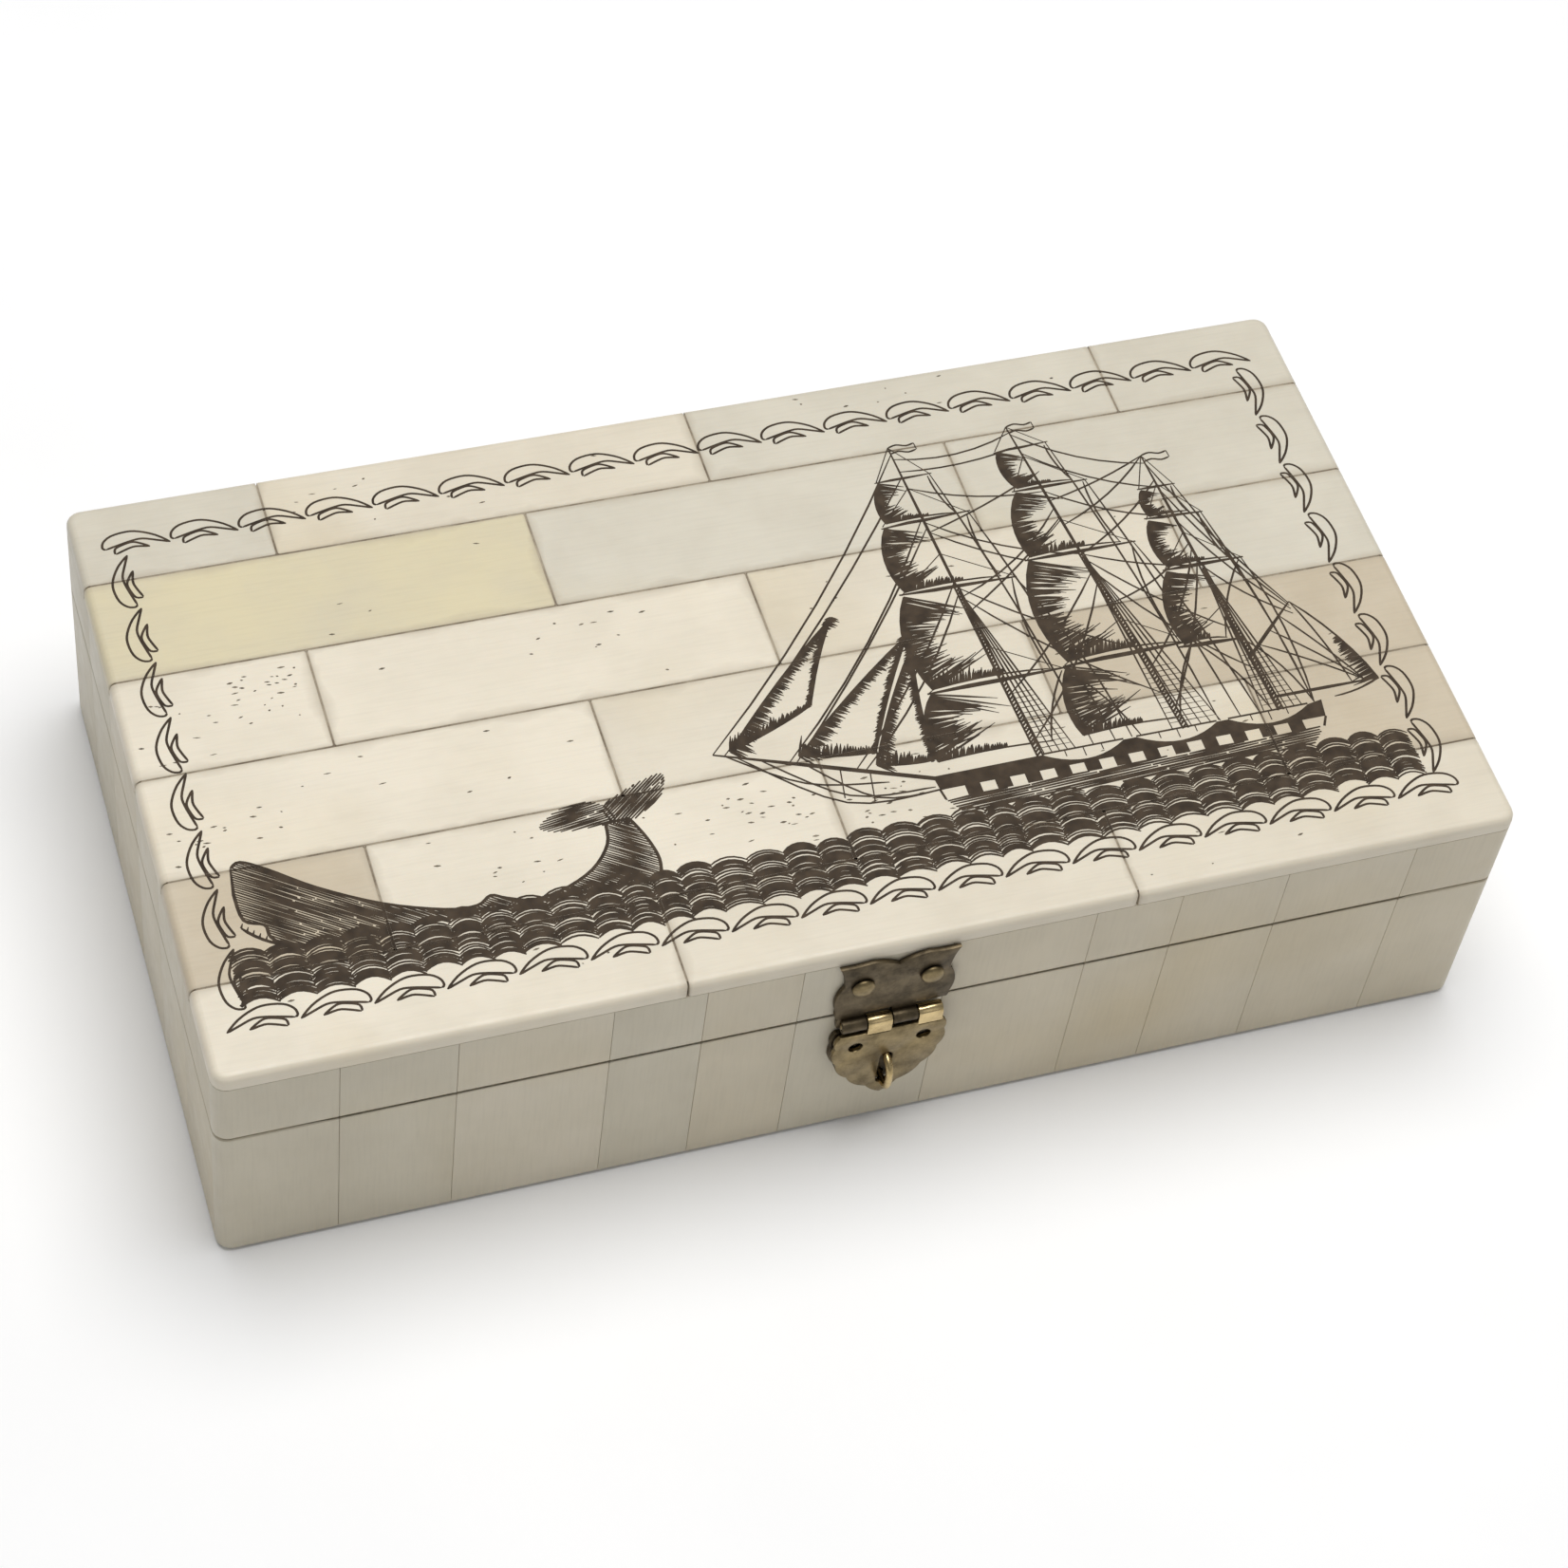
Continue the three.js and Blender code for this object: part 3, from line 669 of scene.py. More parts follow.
def draw_mast(mast, draw):
    foot, head, yards = mast
    top = on_mast(mast, yards[2][0])
    for offset in (-MAST_HALF, MAST_HALF):
        fine_line([Vector(foot) + Vector((offset, 0)), top + Vector((offset * 0.8, 0))], (1, 1))
    height = foot[1] + 0.5
    while height < top.y - 0.6:
        middle = on_mast(mast, height)
        half = Vector(LASHING["half"])
        fine_line([middle - half, middle + half], (1, 1))
        height += LASHING["pitch"]
    engrave("ship", [top, top.lerp(Vector(head), 0.5), head], BOLD, (1, 0.5))
    for yard, (height, left, right) in enumerate(yards):
        tilt = draw.uniform(*YARD_TILT)
        quarter = (left * 0.7 + right * 0.3, height)
        points = [(left, height - tilt), quarter, ((left + right) / 2, height), (right, height + tilt)]
        engrave("ship", points, BOLD + 0.1 * yard, (0.4, 0.4))
    flag = through([Vector(head) + Vector(point) for point in FLAG_EDGE], 3)
    fine_line(flag)
    fine_line([point + Vector((0, -FLAG_DROP)) for point in flag])
    fine_line([flag[-1], flag[-1] + Vector((0.1, -FLAG_DROP))])


def draw_shrouds(mast, spread, ladder):
    """Shrouds from the mast's top to the rail, with ratlines across their lower part."""
    foot, _, yards = mast
    top = on_mast(mast, yards[2][0] - 0.6)
    feet = []
    for i in range(SHROUD_COUNT):
        x = foot[0] + spread[0] + (spread[1] - spread[0]) * i / (SHROUD_COUNT - 1)
        feet.append(Vector((x, DECK + 0.2)))
    for end in feet:
        fine_line([top, top.lerp(end, 0.5), end])
    height = DECK + RATLINES["first"]
    while height < ladder:
        share = (height - DECK) / (top.y - DECK)
        points = [end.lerp(top, share) for end in (feet[0], feet[2], feet[-1])]
        engrave("ship", points, RATLINES["width"])
        height += RATLINES["pitch"]


def draw_stays(draw):
    """Lines from the masts to the bowsprit, to each other and to the rail."""
    fore, _, mizzen = MASTS
    tip, root = (Vector(point) for point in BOWSPRIT)
    for height, share in FORE_STAYS:
        sag = 1.3 + draw.uniform(-0.5, 0.6)
        fine_line(bowed(on_mast(fore, height), tip.lerp(root, share), sag))
    for first, second, pairs in zip(MASTS, MASTS[1:], MAST_STAYS):
        for high, low in pairs:
            fine_line(bowed(on_mast(first, high), on_mast(second, low), draw.uniform(-1.8, -0.6)))
            sag = draw.uniform(0.4, 1.6)
            fine_line(bowed(on_mast(second, high - 1.5), on_mast(first, low - 4), sag))
    for mast in MASTS:
        for height, left, right in mast[2]:
            peak = on_mast(mast, height + LIFT)
            fine_line([peak, (left + 0.3, height)])
            fine_line([peak, (right - 0.3, height)])
            rail = (min(right + 6.5, STERN_RAIL), DECK + 0.3)
            fine_line(bowed((right - 0.4, height), rail, draw.uniform(0.5, 1.6)))
    for height in GAFF_STAYS:
        fine_line(bowed(on_mast(mizzen, height), (172.2, 45.2 - (76 - height) * 0.1), -0.8))


def draw_jib(tack, head, clew, draw):
    """Three-cornered sail, hatched along its edges around a bare middle."""
    luff = bowed(tack, head, 0.5)
    leech = bowed(head, clew, -0.4)
    foot = bowed(clew, tack, 0.3)
    shade("ship", luff, lambda t: (0.75, -0.6), lambda t: 1.5 + 1.7 * (1 - t) ** 3, draw)
    shade("ship", leech, lambda t: (-0.9, -0.3), lambda t: 1.0 + 0.8 * (1 - t), draw)
    shade("ship", foot, lambda t: (0.3, 0.9), lambda t: 1.3 + 1.8 * t, draw)
    for edge in (luff, leech, foot):
        engrave("ship", edge, LINE)


def draw_spanker(draw):
    """Fore-and-aft sail of the mizzen mast, between its gaff and its boom."""
    for spar in (GAFF, BOOM):
        engrave("ship", [spar[0], Vector(spar[0]).lerp(Vector(spar[1]), 0.5), spar[1]], 0.6, (0.9, 0.4))
    leech = bowed(GAFF[1], BOOM[1], 0.9)
    engrave("ship", leech, LINE)
    fine_line(bowed(GAFF[1], (176.0, 29.0), 0.4))
    shade("ship", leech[3:], lambda t: (-0.9, -0.3), lambda t: 1.2 + 3.0 * t, draw)
    for share in (0.25, 0.5, 0.75):
        fine_line(bowed(Vector(GAFF[0]).lerp(Vector(GAFF[1]), share), (178.0, 29.0), 0.3))
    fine_line(bowed((172.4, 27.0), BOOM[1], -0.4))


def draw_hull(draw):
    left, right = HULL_ENDS
    low, high = PORTS["low"], PORTS["high"]
    rail = [(right, DECK + 0.5)]
    for middle, half in reversed(BULWARK_GAPS):
        rail += bowed((middle + half, DECK + 0.1), (middle - half, DECK + 0.1), 2.0, 10)
    rail.append((left, DECK))
    fill("ship", [(left + 0.3, high), (right - 0.5, high)] + rail)
    for middle, half in BULWARK_GAPS:
        fine_line([(middle - half, DECK + 0.25), (middle + half, DECK + 0.25)], (1, 1))
        for offset in (-0.45, 0.0, 0.45):
            x = middle + offset * half
            fine_line([(x, DECK + 0.2), (x, DECK - 1.4 + 2.4 * offset * offset)])
    for i in range(PORTS["count"]):
        start = PORTS["first"] + i * PORTS["pitch"]
        end = start + PORTS["width"]
        fill("ship", [(start, low), (end, low), (end, high), (start, high)])
    engrave("ship", [(left + 0.3, high), (left + 0.6, low)], LINE, (1, 1))
    engrave("ship", [(right - 0.5, high), (right - 1.4, low)], LINE, (1, 1))
    under = [(left + 0.5, low), (left + 2.4, WATERLINE), (right - 4.0, WATERLINE), (right - 1.4, low)]
    hatch("ship", [Vector(point) for point in under], 2, 0.42, 0.5, draw, (9, 25))
    engrave("ship", under + under[:1], LINE, (1, 1))


def draw_bowsprit():
    tip, root = (Vector(point) for point in BOWSPRIT)
    engrave("ship", [tip, tip.lerp(root, 0.45), root], 0.75, (0.4, 1))
    for share, drop, end in BOWSPRIT_LINES:
        start = tip.lerp(root, share)
        middle = tip.lerp(root, (share + end) / 2) - Vector((0.8, drop))
        fine_line(through([start, middle, tip.lerp(root, end) - Vector((0, 1.6))], 5))
    for share in (0.55, 0.68):
        start = tip.lerp(root, share)
        engrave("ship", [start, start - Vector((0.9, 5.2))], LINE)


def draw_ship(draw):
    for _, _, yards in MASTS:
        for upper, lower in zip(yards, yards[1:]):
            draw_square_sail(upper, lower, draw)
    for (_, _, yards), foot in zip(MASTS, LOWEST_FEET):
        draw_square_sail(yards[3], foot, draw)
    for mast, (spread, ladder) in zip(MASTS, SHROUDS):
        draw_mast(mast, draw)
        draw_shrouds(mast, spread, ladder)
    draw_stays(draw)
    for corners in JIBS:
        draw_jib(*corners, draw)
    draw_spanker(draw)
    draw_bowsprit()
    draw_hull(draw)


# Natural pores of the bone, as small pits along the fibres, by course and tile of the lid's top
PORE_COUNTS = {
    (1, 2): 14, (1, 3): 16, (2, 1): 6, (3, 1): 85, (3, 2): 16, (3, 3): 22,
    (4, 1): 30, (4, 3): 10, (5, 2): 75, (5, 3): 60, (6, 1): 8, (6, 3): 14,
}
PORE_CLUSTER = {"share": 0.6, "along": 7, "across": 3.5}
PORE_MARGIN = (2, 1.5)  # from the ends and the sides of a tile


def draw_pores(draw):
    for (course, tile), count in PORE_COUNTS.items():
        low, high = node_box(f"top_tile_{course}_{tile}")
        home = Vector((draw.uniform(low.x, high.x), draw.uniform(low.y, high.y)))
        for _ in range(count):
            near = draw.random() < PORE_CLUSTER["share"]
            x = draw.gauss(home.x, PORE_CLUSTER["along"]) if near else draw.uniform(low.x, high.x)
            y = draw.gauss(home.y, PORE_CLUSTER["across"]) if near else draw.uniform(low.y, high.y)
            ends, sides = PORE_MARGIN
            if low.x + ends < x < high.x - ends and low.y + sides < y < high.y - sides:
                middle = Vector((x + BOX_LENGTH / 2, y + BOX_HALF_WIDTH))
                half = Vector((draw.uniform(0.12, 0.55), draw.uniform(-0.1, 0.1)))
                width = draw.uniform(0.18, 0.4)
                engrave("pores", [middle - half, middle, middle + half], width, (0.3, 0.3))


draw_border()
draw_sea(random.Random(5))
draw_whale(random.Random(8))
draw_ship(random.Random(13))
draw_pores(random.Random(21))

# Top tiles

# Tones of the tiles in each course, from the back
COURSE_TONES = (
    ("grey", "cream", "grey", "grey"),
    ("yellow", "grey", "grey"),
    ("white", "white", "cream", "grey"),
    ("white", "cream", "tan"),
    ("tan", "white", "cream", "tan"),
    ("white", "cream", "cream"),
)
TILE_TONES = {
    f"top_tile_{course}_{i}": tone
    for course, tones in enumerate(COURSE_TONES, start=1)
    for i, tone in enumerate(tones, start=1)
}
FIGURES = {"border": ink, "sea": ink, "whale": ink, "ship": ink, "pores": pore_dirt}
LAYER_DROPS = (0.0, 0.05, 0.12, 0.2, 0.42, 0.75, OUTER_EDGE, BONE)


def edge_inset(radius, drop):
    """How far a rounded edge lies inside its tile, at a depth below the tile's top."""
    if drop >= radius:
        return 0.0
    return radius - math.sqrt(radius * radius - (radius - drop) ** 2)


def tile_ring(low, high, drop):
    """Outline of a tile at a depth below its top, anticlockwise from the front left corner."""
    limits = ((-BOX_LENGTH / 2, BOX_LENGTH / 2), (-BOX_HALF_WIDTH, BOX_HALF_WIDTH))
    outer = [[abs(value - limit) < AT_RIM for value, limit in zip(pair, limits[axis])]
             for axis, pair in enumerate(((low.x, high.x), (low.y, high.y)))]
    ring = []
    for side_x, side_y, start in ((0, 0, 180), (1, 0, 270), (1, 1, 0), (0, 1, 90)):
        flags = (outer[0][side_x], outer[1][side_y])
        round_corner = BOX_CORNER if all(flags) else TILE_CORNER
        insets = [edge_inset(OUTER_EDGE if flag else INNER_EDGE, drop) for flag in flags]
        radii = [max(round_corner - inset, LEAST_RADIUS) for inset in insets]
        signs = (2 * side_x - 1, 2 * side_y - 1)
        corner = ((low.x, high.x)[side_x], (low.y, high.y)[side_y])
        middle = [corner[k] - signs[k] * (insets[k] + radii[k]) for k in (0, 1)]
        for step in range(CORNER_STEPS):
            angle = math.radians(start + 90 * step / (CORNER_STEPS - 1))
            ring.append((middle[0] + radii[0] * math.cos(angle), middle[1] + radii[1] * math.sin(angle)))
    return ring


class Builder:
    """Collects points and faces, with one point for each key."""

    def __init__(self):
        self.points, self.faces, self.index = [], [], {}

    def point(self, key, place):
        if key not in self.index:
            self.index[key] = len(self.points)
            self.points.append(place)
        return self.index[key]


ink_builders = {figure: Builder() for figure in FIGURES}


def near_tile(outline, low, high):
    xs = [point[0] for point in outline]
    ys = [point[1] for point in outline]
    return max(xs) > low.x and min(xs) < high.x and max(ys) > low.y and min(ys) < high.y


def cut_tile(ring, low, high):
    """Triangles of a tile's flat top: (points, [(triangle, figure or None)])."""
    shift = Vector((BOX_LENGTH / 2, BOX_HALF_WIDTH))
    points = [Vector(point) for point in ring]
    outlines = [list(range(len(ring)))]
    figures = [None]
    for figure, outline in strokes:
        placed = [point - shift for point in outline]
        if near_tile(placed, low, high):
            outlines.append(list(range(len(points), len(points) + len(placed))))
            points += placed
            figures.append(figure)
    found = delaunay_2d_cdt(points, [], outlines, 1, CUT_TOLERANCE)
    triangles = []
    for triangle, owners in zip(found[2], found[5]):
        if 0 in owners:
            inked = [owner for owner in owners if owner]
            triangles.append((tuple(triangle), figures[min(inked)] if inked else None))
    return found[0], triangles


def open_edges(triangles):
    """Directed edges of these triangles that no other of them shares."""
    edges = {pair for a, b, c in triangles for pair in ((a, b), (b, c), (c, a))}
    return [(a, b) for a, b in sorted(edges) if (b, a) not in edges]


def place_on_rings(point, rings):
    """The point's places on all rings, when it lies on the first of them."""
    best = None
    first = [Vector(corner) for corner in rings[0]]
    for i, start in enumerate(first):
        way = first[(i + 1) % len(first)] - start
        share = (Vector(point) - start).dot(way) / max(way.length_squared, 1e-12)
        share = max(0.0, min(1.0, share))
        gap = (start + way * share - Vector(point)).length
        if best is None or gap < best[0]:
            best = (gap, i, share)
    _, i, share = best
    return [Vector(ring[i]).lerp(Vector(ring[(i + 1) % len(ring)]), share) for ring in rings]


def add_bake_map(mesh, low, high):
    """Map seen from above, with walls leaning out so that each face has some width."""
    layer = mesh.uv_layers.new(name="OFBake")
    size = high - low
    middle = (low + high) / 2
    margin = 1 + 2 * BONE / min(size.x, size.y)
    for loop in mesh.loops:
        x, y, z = (value / MM for value in mesh.vertices[loop.vertex_index].co)
        lean = MAP_LEAN * (TOP_Z - z)
        across = (x - middle.x) / size.x
        up = (y - middle.y) / size.y
        u = (across + 2 * lean * across / size.x) / margin + 0.5
        v = (up + 2 * lean * up / size.y) / margin + 0.5
        layer.data[loop.index].uv = (u, v)


def add_joint_distances(mesh, low, high):
    """Gives each point its way from the middle of the tile's box, and half that box.

    The box is pushed far out where the tile has no joint.
    """
    low, high = low.copy(), high.copy()
    for axis, limit in ((0, BOX_LENGTH / 2), (1, BOX_HALF_WIDTH)):
        if low[axis] < -limit + AT_RIM:
            low[axis] -= NO_JOINT
        if high[axis] > limit - AT_RIM:
            high[axis] += NO_JOINT
    place = mesh.attributes.new("tile_place", "FLOAT_VECTOR", "POINT")
    half = mesh.attributes.new("tile_half", "FLOAT_VECTOR", "POINT")
    for i, vertex in enumerate(mesh.vertices):
        place.data[i].vector = vertex.co / MM - (low + high) / 2
        half.data[i].vector = (high - low) / 2


def top_tile_box(name):
    """Box of a top tile, which reaches a little into the joints around it."""
    low, high = node_box(name)
    for axis, limit in ((0, BOX_LENGTH / 2), (1, BOX_HALF_WIDTH)):
        if low[axis] > -limit + AT_RIM:
            low[axis] -= JOINT_CLOSE
        if high[axis] < limit - AT_RIM:
            high[axis] += JOINT_CLOSE
    return low, high


def make_top_tile(name):
    low, high = top_tile_box(name)
    rings = [tile_ring(low, high, drop) for drop in LAYER_DROPS]
    flat, triangles = cut_tile(rings[0], low, high)
    inked = [triangle for triangle, figure in triangles if figure]
    tile = Builder()

    def on_top(i):
        return tile.point((i, 0), (*flat[i], TOP_Z))

    def in_groove(i):
        return tile.point((i, 1), (*flat[i], TOP_Z - GROOVE))

    for triangle, figure in triangles:
        level = in_groove if figure else on_top
        tile.faces.append([level(i) for i in triangle])
    for a, b in open_edges(inked):
        tile.faces.append([on_top(a), on_top(b), in_groove(b), in_groove(a)])
    following = dict(open_edges([triangle for triangle, _ in triangles]))
    start = min(following)
    loop = [start]
    while following[loop[-1]] != start:
        loop.append(following[loop[-1]])
    columns = []
    for i in loop:
        places = place_on_rings(flat[i], rings)
        column = [on_top(i)]
        for k, drop in enumerate(LAYER_DROPS[1:], start=1):
            column.append(tile.point((i, "ring", k), (*places[k], TOP_Z - drop)))
        columns.append(column)
    for column, after in zip(columns, columns[1:] + columns[:1]):
        for k in range(len(LAYER_DROPS) - 1):
            tile.faces.append([column[k], column[k + 1], after[k + 1], after[k]])
    tile.faces.append([column[-1] for column in reversed(columns)])
    mesh = new_mesh(name, tile.points, tile.faces)
    smooth_by_angle(mesh, 40, len(triangles))
    add_bake_map(mesh, low, high)
    add_joint_distances(mesh, low, high)
    add_piece(f"{name}_engraved", mesh, [top_bone[TILE_TONES[name]]], "lid", [name])
    for figure in FIGURES:
        owned = [triangle for triangle, owner in triangles if owner == figure]
        fill_with_ink(name, figure, flat, owned)


def fill_with_ink(tile, figure, flat, triangles, top=INK_TOP, under=INK_UNDER):
    """Closed ink of one figure, in one tile's grooves or over one joint."""
    made = ink_builders[figure]

    def at(i, level, depth):
        return made.point((tile, i, level), (*flat[i], TOP_Z - depth))

    for triangle in triangles:
        made.faces.append([at(i, "top", top) for i in triangle])
        made.faces.append([at(i, "under", under) for i in reversed(triangle)])
    for a, b in open_edges(triangles):
        foot = [at(a, "under", under), at(b, "under", under)]
        made.faces.append(foot + [at(b, "top", top), at(a, "top", top)])


for tile_name in TILE_TONES:
    make_top_tile(tile_name)


# Joint filler


def box_faces(builder, low, high):
    start = len(builder.points)
    xs, ys, zs = zip(low, high)
    builder.points += [(x, y, z) for z in zs for y in ys for x in xs]
    for face in ((0, 2, 3, 1), (4, 5, 7, 6), (0, 1, 5, 4), (2, 6, 7, 3), (0, 4, 6, 2), (1, 3, 7, 5)):
        builder.faces.append([start + i for i in face])


def ink_joint(name, low, high):
    """Ink where the picture crosses a joint."""
    worn = Vector((INNER_EDGE, INNER_EDGE))
    low, high = low - worn, high + worn
    ring = [(low.x, low.y), (high.x, low.y), (high.x, high.y), (low.x, high.y)]
    flat, triangles = cut_tile(ring, low, high)
    for figure in FIGURES:
        owned = [triangle for triangle, owner in triangles if owner == figure]
        fill_with_ink(name, figure, flat, owned, JOINT_INK_TOP, JOINT_DROP)


def make_top_filler():
    """Glue and dirt in the joints between the top tiles, stepped down where the rim is rounded."""
    made = Builder()
    under = node_box("top_tile_3_2")[0].z
    courses = [
        [top_tile_box(f"top_tile_{course}_{i}") for i in range(1, len(tones) + 1)]
        for course, tones in enumerate(COURSE_TONES, start=1)
    ]
    half_length = BOX_LENGTH / 2
    steps = ((half_length - FILLER_INSET, JOINT_DROP), (half_length - FILLER_FOOT_INSET, OUTER_EDGE))
    for back, front in zip(courses, courses[1:]):
        low_y, high_y = front[0][1].y, back[0][0].y
        for reach, drop in steps:
            box_faces(made, (-reach, low_y, under), (reach, high_y, TOP_Z - drop))
        ends = Vector((-half_length, low_y)), Vector((half_length, high_y))
        ink_joint(f"course joint {low_y:.1f}", *ends)
    for course in courses:
        for left, right in zip(course, course[1:]):
            ys = (left[0].y, left[1].y)
            rim = [FILLER_INSET if abs(abs(y) - BOX_HALF_WIDTH) < AT_RIM else 0.0 for y in ys]
            low = (left[1].x, ys[0] + rim[0], under)
            high = (right[0].x, ys[1] - rim[1], TOP_Z - JOINT_DROP)
            box_faces(made, low, high)
            ink_joint(f"tile joint {low}", Vector(low[:2]), Vector(high[:2]))
    mesh = new_mesh("top_joint_filler", made.points, made.faces)
    add_piece("top_joint_filler", mesh, [joint_grime], "lid")


def make_ink(figure, drawn):
    mesh = new_mesh(figure, drawn.points, drawn.faces)
    corner = Vector((BOX_LENGTH / 2, BOX_HALF_WIDTH))
    add_bake_map(mesh, -corner, corner)
    add_piece(f"engraving_{figure}", mesh, [FIGURES[figure]], "lid")


make_top_filler()
for figure_name, ink_builder in ink_builders.items():
    make_ink(figure_name, ink_builder)


# Side tiles

# Each side has its turn from the front, the widths of its tiles, the distance of its face from the middle,
# half of its length, and whether its end tiles go round the box's corners.
SIDES = {
    "front": (0, LONG_SIDE_TILES, BOX_HALF_WIDTH, BOX_LENGTH / 2, True),
    "right": (90, SHORT_SIDE_TILES, BOX_LENGTH / 2, BOX_HALF_WIDTH, False),
    "back": (180, LONG_SIDE_TILES, BOX_HALF_WIDTH, BOX_LENGTH / 2, True),
    "left": (270, SHORT_SIDE_TILES, BOX_LENGTH / 2, BOX_HALF_WIDTH, False),
}
SIDE_EDGE = 0.06
SEAM_EDGE = 0.2  # worn edge where lid and base meet
WRAP_STEPS = 6  # faces of a tile's end that goes round a box corner
EDGE_STEPS = 2


def inset_outline(outline, distance):
    """Convex anticlockwise outline moved inwards."""
    moved = []
    for i, point in enumerate(outline):
        before = (point - outline[i - 1]).normalized()
        after = (outline[(i + 1) % len(outline)] - point).normalized()
        inward = Vector((-before.y - after.y, before.x + after.x))
        moved.append(point + inward * (distance / max(1 + before.dot(after), 0.2)))
    return moved


def side_tile_outline(start, end, reach, wraps):
    """Plan of one side tile, drawn as on the front. wraps says which of its ends go round a box corner."""
    outer, inner = -reach, -reach + BONE
    outline = []
    for wrapped, x, sign, turn in ((wraps[0], start, 1, 180), (wraps[1], end, -1, 270)):
        radius, steps = (BOX_CORNER, WRAP_STEPS) if wrapped else (SIDE_EDGE, EDGE_STEPS)
        outline += arc((x + sign * radius, outer + radius), radius, turn, turn + 90, steps)
    return outline + [Vector((end, inner)), Vector((start, inner))]


def make_side(part, side, draw):
    turn, widths, reach, half, long = SIDES[side]
    low, high = node_box(f"{part}_{side}_bone")
    rotation = Matrix.Rotation(math.radians(turn), 2)
    under, over = (SEAM_EDGE, SIDE_EDGE) if part == "lid" else (SIDE_EDGE, SEAM_EDGE)
    levels = ((low.z, under), (low.z + under, 0), (high.z - over, 0), (high.z, over))
    tiles, filler, tile_tones = Builder(), Builder(), []
    corner = 0 if long else BONE + CORNER_GAP
    joint = -half
    last = len(widths) - 1
    for i, width in enumerate(widths):
        start = joint + (SIDE_GAP / 2 if i else corner)
        joint += width
        end = joint - SIDE_GAP / 2 if i < last else half - corner
        outline = side_tile_outline(start, end, reach, (long and i == 0, long and i == last))
        rings = []
        for height, inset in levels:
            ring = [rotation @ point for point in inset_outline(outline, inset)]
            rings.append([tiles.point((i, height, k), (*point, height)) for k, point in enumerate(ring)])
        faces = [rings[0][::-1], rings[-1]]
        for lower, upper in zip(rings, rings[1:]):
            join_rings(faces, lower, upper)
        tiles.faces += faces
        # Each side tile draws one of the bone tones that are darkened as painted shade
        tone = draw.choices(range(len(side_bone_painted_shade)), SIDE_TONE_WEIGHTS)[0]
        tile_tones += [tone] * len(faces)
        if i < last:
            box_faces(
                filler,
                (joint - SIDE_GAP / 2, -reach + SIDE_JOINT_DROP, low.z + SIDE_JOINT_INSET),
                (joint + SIDE_GAP / 2, -reach + BONE, high.z - SIDE_JOINT_INSET),
            )
    body = "lid" if part == "lid" else "box"
    name = f"{part}_{side}"
    mesh = new_mesh(f"{name}_tiles", tiles.points, tiles.faces, tile_tones)
    smooth_by_angle(mesh)
    add_piece(f"{name}_tiles", mesh, list(side_bone_painted_shade.values()), body, [f"{name}_bone"])
    grout = [(*(rotation @ Vector(point[:2])), point[2]) for point in filler.points]
    add_piece(f"{name}_joints", new_mesh(f"{name}_joints", grout, filler.faces), [side_grime], body)


for side_name in SIDES:
    # The lid's tiles were sawn from the base's, so both draw the same tones.
    make_side("base", side_name, random.Random(f"tiles {side_name}"))
    make_side("lid", side_name, random.Random(f"tiles {side_name}"))


# Boards

BOARD_EDGE = 0.35
BOARD_EDGE_ANGLE = 40


def dress_board(name, board):
    """Gives a board of the frame its wood, with the grain along the board, and worn edges."""
    along = 1 if "left" in name or "right" in name else 0
    material_name = f"board_wood_{along}"
    if material_name not in bpy.data.materials:
        wood_material(material_name, WOOD_LIGHT, WOOD_DARK, along)
    board.data.materials.clear()
    board.data.materials.append(bpy.data.materials[material_name])
    rounding = board.modifiers.new("worn_edges", "BEVEL")
    rounding.width = BOARD_EDGE * MM
    rounding.segments = 2
    rounding.limit_method = "ANGLE"
    rounding.angle_limit = math.radians(BOARD_EDGE_ANGLE)


for node_name, node in frame["nodes"].items():
    if node_name.endswith("_board"):
        dress_board(node_name, node)


# Brass sheets, knuckles and nails

SHEET_EDGE = 0.16
SHEET_TOLERANCE = 1e-6
FIXED_SHEET = (0.1, 0.9)  # distances of a nailed sheet's back and face from the bone
LEAF_SHEET = (1.6, 2.4)
AXIS_OUT = 1.3
KNUCKLE_RADIUS = 1.1
BORE_RADIUS = 0.58
PIN_RADIUS = 0.45
KNUCKLE_GAP = 0.15
KNUCKLE_EDGE = 0.12
ROLL_STEPS = 28
LARGE_HOLE = 0.67  # radius of the holes for the staple and the hasp plate's nails
SMALL_HOLE = 0.57  # radius of the holes for the other nails
NAIL_BACK = 1.0  # distance of a nail head's underside from the bone
NAIL_SHANK = 0.33  # of the head's radius
NAIL_RIM = (0.92, 0.12)  # shares of the head's radius and height
NAIL_DOME = (1.5, 1.25, 1.0, 0.7, 0.4, 0.15)  # angles from the top, in radians
NAIL_DOME_LOW = 0.3  # the dome starts at this share of the head's height


def on_face(middle, back=False):
    """Turns (across, up, out) on the front or back face into a point."""
    turn = -1 if back else 1
    return lambda across, up, out: (middle + turn * across, -turn * (BOX_HALF_WIDTH + out), up)


def through_face(middle, back=False):
    """Turns (out, up, along the knuckles) on the front or back face into a point."""
    turn = -1 if back else 1
    return lambda out, up, along: (middle - turn * along, -turn * (BOX_HALF_WIDTH + out), up)


def round_hole(middle, radius, steps=20):
    return arc(middle, radius, 360, 0, steps)[:-1]


